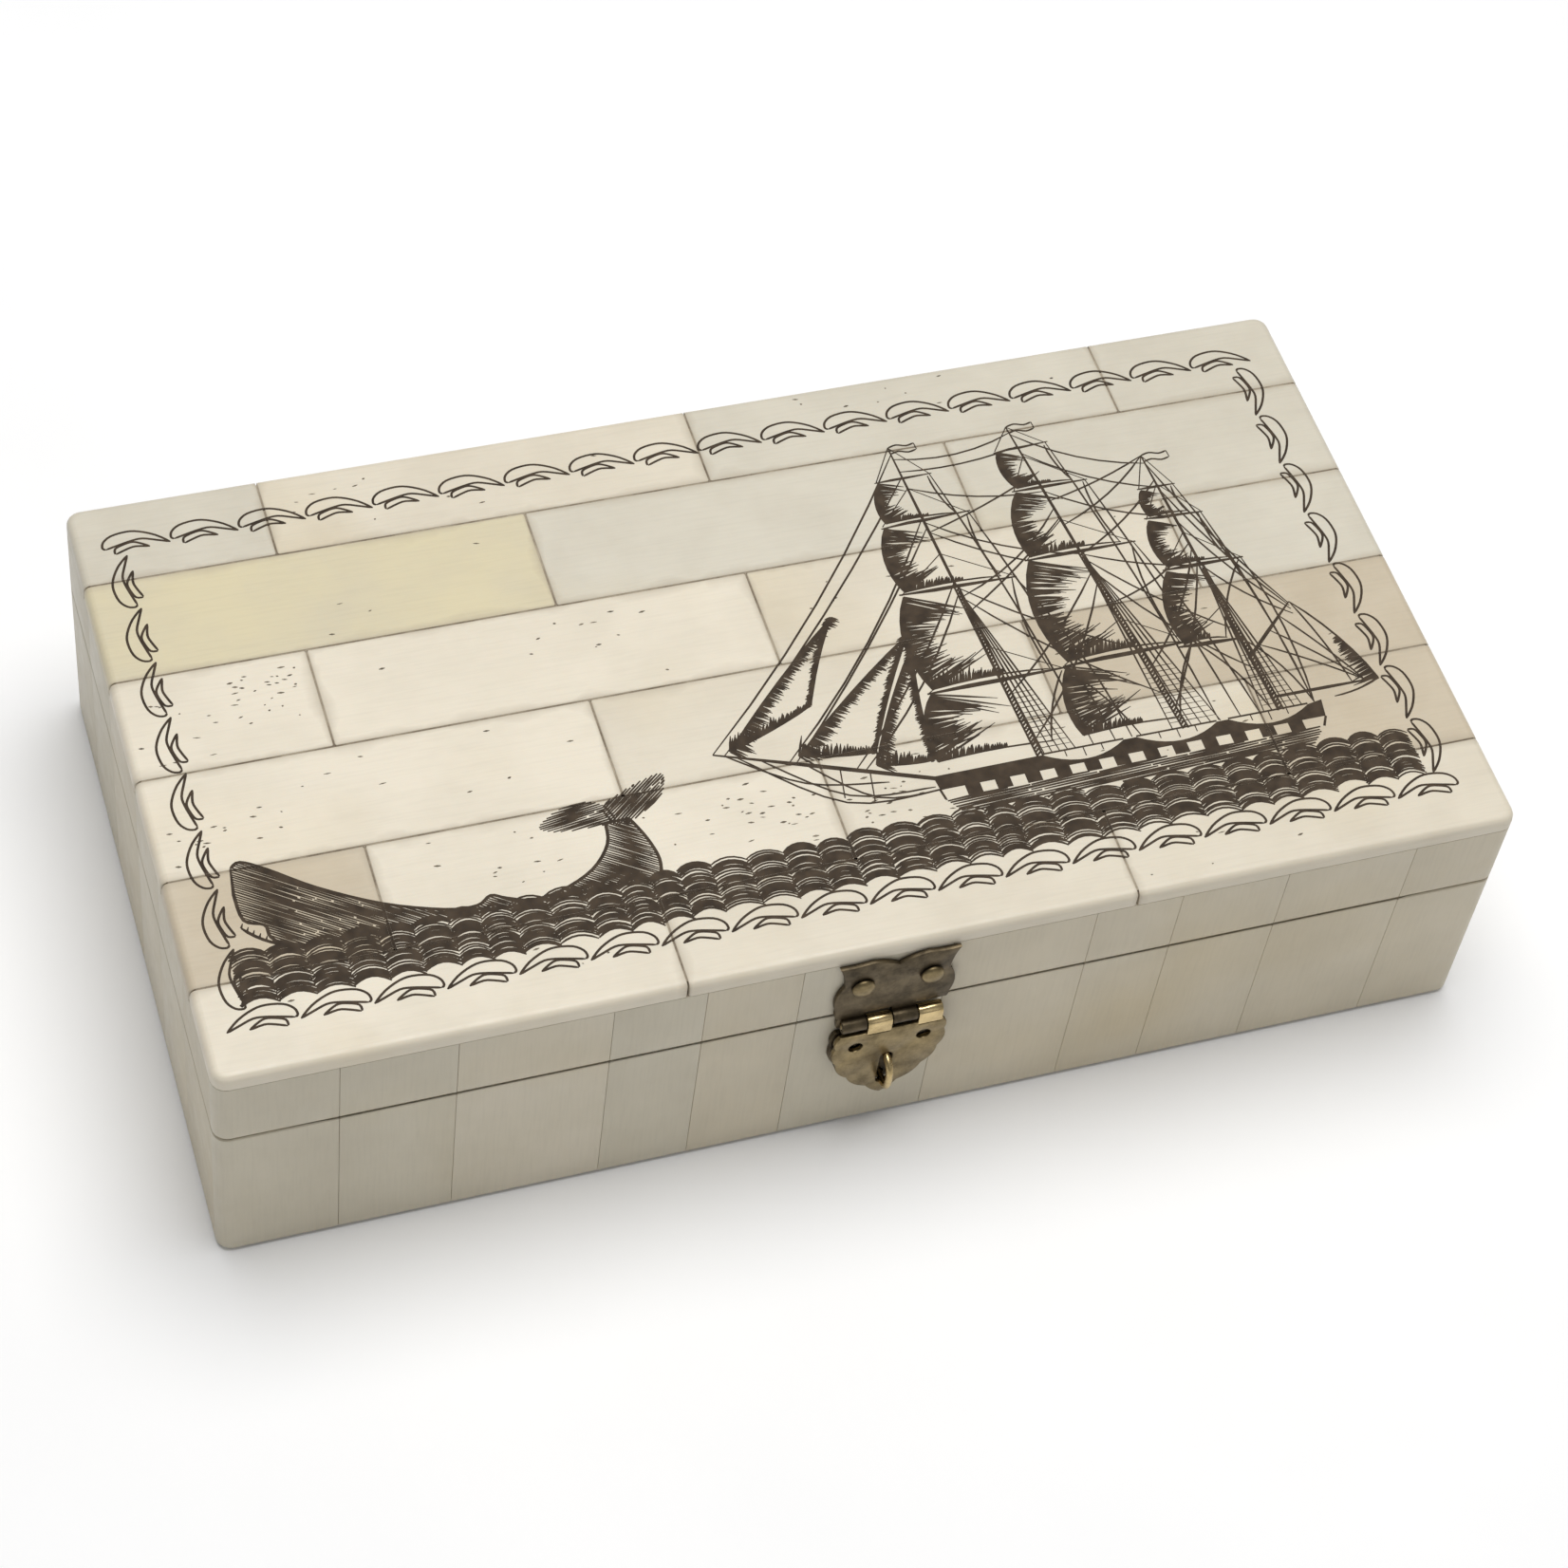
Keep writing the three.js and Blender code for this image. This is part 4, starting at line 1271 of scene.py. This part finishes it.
def add_sheet(made, outline, holes, low, high, place, edge=SHEET_EDGE):
    """Sheet with rounded edges.

    Seen from outside, its outline runs anticlockwise and its holes clockwise.
    """
    loops = [outline, *holes]
    soft = ((0, edge), (0.3 * edge, 0.3 * edge), (edge, 0))
    levels = [(low + up, inset) for up, inset in soft]
    levels += [(high - up, inset) for up, inset in reversed(soft)]
    first = len(made.points)
    rings = []
    for height, inset in levels:
        ring = []
        for k, loop in enumerate(loops):
            ring.append([
                made.point((first, height, k, i), place(*point, height))
                for i, point in enumerate(inset_outline(loop, inset))
            ])
        rings.append(ring)
    for lower, upper in zip(rings, rings[1:]):
        for low_loop, high_loop in zip(lower, upper):
            join_rings(made.faces, low_loop, high_loop)
    flat = [point for loop in loops for point in inset_outline(loop, edge)]
    under = [i for loop in rings[0] for i in loop]
    over = [i for loop in rings[-1] for i in loop]
    borders, start = [], 0
    for k, loop in enumerate(loops):
        border = list(range(start, start + len(loop)))
        borders.append(border if k == 0 else border[::-1])
        start += len(loop)
    found = delaunay_2d_cdt(flat, [], borders, 1, SHEET_TOLERANCE)
    for triangle, owners in zip(found[2], found[5]):
        if list(owners) == [0]:
            corners = [found[3][i][0] for i in triangle]
            made.faces.append([over[i] for i in corners])
            made.faces.append([under[i] for i in reversed(corners)])


def add_lathe(made, profile, place, steps=24):
    """Turned form. The profile is (radius, height) from the axis to the axis."""
    first = len(made.points)
    rings = []
    for k, (radius, height) in enumerate(profile):
        count = steps if radius > 0 else 1
        angles = [2 * math.pi * i / steps for i in range(count)]
        spots = [(radius * math.cos(a), radius * math.sin(a), height) for a in angles]
        rings.append([made.point((first, k, i), place(*spot)) for i, spot in enumerate(spots)])
    for lower, upper in zip(rings, rings[1:]):
        for i in range(steps):
            corners = [lower[i % len(lower)], lower[(i + 1) % len(lower)]]
            corners += [upper[(i + 1) % len(upper)], upper[i % len(upper)]]
            made.faces.append(list(dict.fromkeys(corners)))


def add_wire(made, path, radius, place, steps=14):
    """Round wire along a path in the (out, up) plane."""
    first = len(made.points)
    rings = []
    for k, point in enumerate(path):
        way = path[min(k + 1, len(path) - 1)] - path[max(k - 1, 0)]
        side = Vector((-way.y, way.x)).normalized()
        ring = []
        for i in range(steps):
            angle = 2 * math.pi * i / steps
            spot = point + side * (radius * math.cos(angle))
            ring.append(made.point((first, k, i), place(*spot, -radius * math.sin(angle))))
        rings.append(ring)
    for lower, upper in zip(rings, rings[1:]):
        for i in range(steps):
            after = (i + 1) % steps
            made.faces.append([lower[i], upper[i], upper[after], lower[after]])
    made.faces += [rings[0], rings[-1][::-1]]


def add_brass(name, made, materials, body, node, plain_faces=None):
    """Brass piece. Faces after the first plain_faces take its second material."""
    count = len(made.faces) if plain_faces is None else plain_faces
    mesh = new_mesh(name, made.points, made.faces, [int(i >= count) for i in range(len(made.faces))])
    smooth_by_angle(mesh, 42)
    add_piece(name, mesh, materials, body, [node])


def symmetric_half(steps, fineness=7):
    """Right half of a stamped edge, from the top down.

    A step is (x, z, bulge), with the bulge as a share of the step's length.
    """
    half = [Vector(steps[0][:2])]
    for start, (x, z, bulge) in zip(steps, steps[1:]):
        way = Vector((x - start[0], z - start[1]))
        begin = Vector(start[:2])
        bend = begin + way / 2 + Vector((-way.y, way.x)) * bulge
        for i in range(1, fineness + 1):
            t = i / fineness
            half.append(begin * (1 - t) ** 2 + bend * (2 * t * (1 - t)) + (begin + way) * t * t)
    return half


def mirrored(half):
    """Whole outline, anticlockwise, from its right half."""
    return [Vector((-point.x, point.y)) for point in half] + half[-2:0:-1]


# Hasp and catch

HASP_X = 1.0
HASP_AXIS_Z = 28.2
HASP_KNUCKLE = 3.8
HASP_PLATE_EDGE = (
    (0, 40.7), (4.2, 42.2, 0.12), (8.9, 42.0, -0.08), (7.8, 37.4, -0.1), (8.5, 31.4, 0.25),
)
HASP_PLATE_FOOT = ((8.0, 29.4, 0.3), (8.0, 27.3, 0.1))  # left of the leaf's knuckles
HASP_PLATE_LOW = 27.3
HASP_WINDOW_TOP = 30.0
HASP_NAIL = (5.1, 36.9)
LEAF_EDGE = (
    (0, 26.6), (7.7, 26.6, 0), (8.2, 23.9, 0.32), (7.7, 19.7, 0.28), (5.7, 15.8, 0.26), (2.4, 12.5, 0.24),
    (0, 10.2, 0.16),
)
LEAF_HOLE = (5.1, 23.5, 1.05)  # across, up and radius
LEAF_ROUNDING = 0.2
LEAF_TAB_Z = 26.2  # lower end of the leaf's rolled knuckles
LEAF_ROLL_STEPS = 26
SLOT_PLAY = 0.4  # the leaf's slot is wider than the staple by this on each side
SLOT_SHORT = 0.2
CATCH_PLATE_EDGE = (
    (0, 25.8), (7.9, 25.8, 0.02), (8.3, 22.6, 0.25), (7.4, 18.0, 0.25), (5.0, 14.4, 0.24), (0, 11.4, 0.16),
)
STAPLE_Z = 16.6
STAPLE_HALF = 3.1
STAPLE_WIRE = 0.55
STAPLE_PATH = ((0.1, 3.1), (2.3, 3.1), (4.08, 2.23), (4.55, 0), (4.08, -2.23), (2.3, -3.1), (0.1, -3.1))
PIN_EDGE = 0.12


def hasp_knuckles(first):
    spans = [(-2 + i) * HASP_KNUCKLE for i in (first, first + 2)]
    return [(start + KNUCKLE_GAP / 2, start + HASP_KNUCKLE - KNUCKLE_GAP / 2) for start in spans]


def add_knuckle(made, outline, span, middle_z, place):
    bore = round_hole((AXIS_OUT, middle_z), BORE_RADIUS)
    add_sheet(made, outline, [bore], -span[1], -span[0], place, KNUCKLE_EDGE)


def closed_roll(axis_z):
    """Outline of a knuckle that is rolled shut."""
    return arc((AXIS_OUT, axis_z), KNUCKLE_RADIUS, 0, 360, ROLL_STEPS)[:-1]


def add_pin(made, profile, axis_z, place):
    add_lathe(made, profile, lambda u, v, along: place(AXIS_OUT + u, axis_z + v, along))


def make_hasp_plate():
    """Upper plate, with two windows in its lower edge where the leaf's knuckles turn."""
    made = Builder()
    right = symmetric_half(HASP_PLATE_EDGE + ((8.2, HASP_WINDOW_TOP, 0.15),))
    left = symmetric_half(HASP_PLATE_EDGE + HASP_PLATE_FOOT)
    windows = [start - KNUCKLE_GAP for start, _ in hasp_knuckles(1)]
    window_end = hasp_knuckles(1)[0][1] + KNUCKLE_GAP
    low, top = HASP_PLATE_LOW, HASP_WINDOW_TOP
    outline = [Vector((-point.x, point.y)) for point in left]
    for x, first, second in ((windows[0], low, top), (window_end, top, low), (windows[1], low, top)):
        outline += [Vector((x, first)), Vector((x, second))]
    outline += right[:0:-1]
    holes = [round_hole((x, HASP_NAIL[1]), LARGE_HOLE) for x in (-HASP_NAIL[0], HASP_NAIL[0])]
    add_sheet(made, outline, holes, *FIXED_SHEET, on_face(HASP_X))
    for span in hasp_knuckles(0):
        add_knuckle(made, closed_roll(HASP_AXIS_Z), span, HASP_AXIS_Z, through_face(HASP_X))
    # The hasp plate's brass is darkened as painted shade.
    add_brass("hasp_plate_stamped", made, [plate_brass_painted_shade], "lid", "hasp_plate")


def make_hasp_leaf():
    """Hanging leaf with its slot, two holes and two rolled knuckles."""
    made = Builder()
    half = STAPLE_WIRE + SLOT_PLAY
    ends = STAPLE_HALF - SLOT_SHORT
    slot = arc((0, STAPLE_Z + ends), half, 180, 0, 10) + arc((0, STAPLE_Z - ends), half, 0, -180, 10)
    x, z, radius = LEAF_HOLE
    holes = [slot, round_hole((-x, z), radius), round_hole((x, z), radius)]
    outline = mirrored(symmetric_half(LEAF_EDGE))
    add_sheet(made, outline, holes, *LEAF_SHEET, on_face(HASP_X), LEAF_ROUNDING)
    leaf_faces = len(made.faces)
    back, face = LEAF_SHEET
    foot = math.degrees(math.acos((back - AXIS_OUT) / KNUCKLE_RADIUS))
    for span in hasp_knuckles(1):
        roll = arc((AXIS_OUT, HASP_AXIS_Z), KNUCKLE_RADIUS, 0, 360 - foot, LEAF_ROLL_STEPS)
        tab = [Vector((back, LEAF_TAB_Z)), Vector((face, LEAF_TAB_Z))]
        add_knuckle(made, tab + roll, span, HASP_AXIS_Z, through_face(HASP_X))
    # The leaf's knuckles take the brass brightened as a painted highlight.
    looks = [worn_brass, glossy_brass_painted_highlight]
    add_brass("hasp_leaf_stamped", made, looks, "hasp", "hasp_leaf", leaf_faces)


def make_catch():
    plate, staple, pin = Builder(), Builder(), Builder()
    legs = [round_hole((0, STAPLE_Z + leg * STAPLE_HALF), LARGE_HOLE) for leg in (-1, 1)]
    nails = [round_hole((x, LEAF_HOLE[1]), SMALL_HOLE) for x in (-LEAF_HOLE[0], LEAF_HOLE[0])]
    outline = mirrored(symmetric_half(CATCH_PLATE_EDGE))
    add_sheet(plate, outline, legs + nails, *FIXED_SHEET, on_face(HASP_X))
    # The catch plate's brass is darkened as painted shade.
    add_brass("catch_plate_stamped", plate, [plate_brass_painted_shade], "box", "catch_plate")
    path = [Vector((out, STAPLE_Z + up)) for out, up in through(STAPLE_PATH, 6)]
    add_wire(staple, path, STAPLE_WIRE, through_face(HASP_X))
    # The staple takes the brass brightened as a painted highlight.
    add_brass("catch_staple_wire", staple, [glossy_brass_painted_highlight], "box", "catch_staple")
    half = 2 * HASP_KNUCKLE
    narrow = PIN_RADIUS - PIN_EDGE
    lower = ((0, -half), (narrow, -half), (PIN_RADIUS, -half + PIN_EDGE))
    upper = ((PIN_RADIUS, half - PIN_EDGE), (narrow, half), (0, half))
    add_pin(pin, lower + upper, HASP_AXIS_Z, through_face(HASP_X))
    add_brass("hasp_pin_turned", pin, [worn_brass], "lid", "hasp_pin")


# Hinges on the back

HINGE_WIDTH = 18.0
HINGE_LEAF = 9.0
HINGE_CORNER = 1.0
HINGE_NAIL = (5.6, 5.4)  # across and from the axis
HINGE_TAB = (0.2, 0.8)  # start from the axis and reach onto the leaf
HINGE_TAB_EDGE = 0.08


def make_hinge_leaf(node, part, body, seam):
    low, high = node_box(node)
    middle = (low.x + high.x) / 2
    made = Builder()
    up = 1 if part == "lid" else -1
    near, far = seam + up * (KNUCKLE_RADIUS + KNUCKLE_GAP), seam + up * HINGE_LEAF
    half, corner = HINGE_WIDTH / 2, HINGE_CORNER
    bottom, top = min(near, far), max(near, far)
    outline = []
    for x, z, start in ((-half, bottom, 180), (half, bottom, 270), (half, top, 0), (-half, top, 90)):
        inner = (x - math.copysign(corner, x), z + (corner if z == bottom else -corner))
        outline += arc(inner, corner, start, start + 90, 5)
    across, nail_up = HINGE_NAIL
    holes = [round_hole((x, seam + up * nail_up), SMALL_HOLE) for x in (-across, across)]
    add_sheet(made, outline, holes, *FIXED_SHEET, on_face(middle, True))
    lid_half = HINGE_WIDTH / 6
    base_start = lid_half + KNUCKLE_GAP
    spans = [(-lid_half, lid_half)] if part == "lid" else [(-half, -base_start), (base_start, half)]
    back, face = FIXED_SHEET
    low_z, high_z = sorted((seam + up * HINGE_TAB[0], near + up * HINGE_TAB[1]))
    corners = ((back, low_z), (face, low_z), (face, high_z), (back, high_z))
    tab = [Vector(point) for point in corners]
    place = through_face(middle, True)
    for span in spans:
        add_knuckle(made, closed_roll(seam), span, seam, place)
        add_sheet(made, tab, [], -span[1], -span[0], place, HINGE_TAB_EDGE)
    if part == "base":
        profile = ((0, -half), (PIN_RADIUS, -half), (PIN_RADIUS, half), (0, half))
        add_pin(made, profile, seam, place)
    add_brass(f"{node}_stamped", made, [worn_brass], body, node)


def make_nail(node, body):
    """Nail with a domed head whose rim is rounded, where the frame has its plain one."""
    low, high = node_box(node)
    back = low.y > 0
    middle_x, middle_z = (low.x + high.x) / 2, (low.z + high.z) / 2
    head = (high.z - low.z) / 2
    height = (high.y - BOX_HALF_WIDTH if back else -low.y - BOX_HALF_WIDTH) - NAIL_BACK
    length = (high.y - low.y) - height
    shank = NAIL_SHANK * head
    profile = [(0, -length), (shank, -length + shank), (shank, 0)]
    profile += [(head * NAIL_RIM[0], 0), (head, height * NAIL_RIM[1])]
    for angle in NAIL_DOME:
        up = NAIL_DOME_LOW + (1 - NAIL_DOME_LOW) * math.cos(angle)
        profile.append((head * math.sin(angle), height * up))
    profile.append((0, height))
    made = Builder()
    place = on_face(middle_x, back)
    add_lathe(made, profile, lambda u, v, out: place(u, middle_z + v, NAIL_BACK + out))
    add_brass(f"{node}_domed", made, [worn_brass], body, node)


make_hasp_plate()
make_hasp_leaf()
make_catch()
HINGE_AXIS_Z = frame["joints"][0]["pos_m"][2] / MM
for node_name in list(frame["nodes"]):
    home = "lid" if "lid" in node_name or node_name.startswith("hasp") else "box"
    if "_nail_" in node_name:
        make_nail(node_name, home)
    elif node_name.startswith("hinge"):
        make_hinge_leaf(node_name, "lid" if home == "lid" else "base", home, HINGE_AXIS_Z)


# Floor, light and camera

FLOOR_SIZE = 4000.0
KEY_LIGHT = {"place": (60.0, 100.0, 950.0), "size": 800.0, "watts": 8.0}
FILL_LIGHT = {"place": (300.0, -900.0, 500.0), "size": 700.0, "watts": 0.4}
WORLD_STRENGTH = 0.3


def make_floor():
    made, tree, shader = new_material("floor_paper")
    patches = noise(tree, millimetre_coordinates(tree), 0.02)
    colour = ramp(tree, patches, ((0.3, 0.96), (0.7, 0.98)))
    set_inputs(tree, shader, {"Base Color": colour, "Roughness": 0.9})
    half = FLOOR_SIZE / 2
    corners = [(-half, -half, 0), (half, -half, 0), (half, half, 0), (-half, half, 0)]
    mesh = new_mesh("floor", corners, [[0, 1, 2, 3]])
    mesh.materials.append(made)
    add_object("floor", mesh)


def add_area_light(name, place, size, watts):
    lamp = bpy.data.lights.new(name, "AREA")
    lamp.shape = "DISK"
    lamp.size = size * MM
    lamp.energy = watts
    holder = add_object(name, lamp)
    holder.location = Vector(place) * MM
    holder.rotation_euler = holder.location.to_track_quat("Z", "Y").to_euler()


def make_world():
    world = bpy.data.worlds.new("white_studio")
    world.use_nodes = True
    background = world.node_tree.nodes["Background"]
    background.inputs["Color"].default_value = (1.0, 1.0, 1.0, 1.0)
    background.inputs["Strength"].default_value = WORLD_STRENGTH
    bpy.context.scene.world = world


def make_camera():
    degrees = (CAMERA_AZIMUTH, CAMERA_ELEVATION, CAMERA_ROLL)
    azimuth, elevation, roll = (math.radians(value) for value in degrees)
    level = math.cos(elevation)
    back = Vector((math.sin(azimuth) * level, -math.cos(azimuth) * level, math.sin(elevation)))
    right = Vector((math.cos(azimuth), math.sin(azimuth), 0))
    up = back.cross(right)
    turned_right = right * math.cos(roll) + up * math.sin(roll)
    turned_up = up * math.cos(roll) - right * math.sin(roll)
    lens = bpy.data.cameras.new("camera")
    lens.sensor_width = CAMERA_SENSOR
    lens.lens = CAMERA_LENS
    camera = add_object("camera", lens)
    turn = Matrix((turned_right, turned_up, back)).transposed().to_4x4()
    camera.matrix_world = Matrix.Translation(Vector(CAMERA_PLACE) * MM) @ turn
    bpy.context.scene.camera = camera


make_floor()
add_area_light("key_light", **KEY_LIGHT)
add_area_light("fill_light", **FILL_LIGHT)
make_world()
make_camera()
bpy.context.scene.view_settings.view_transform = "Standard"
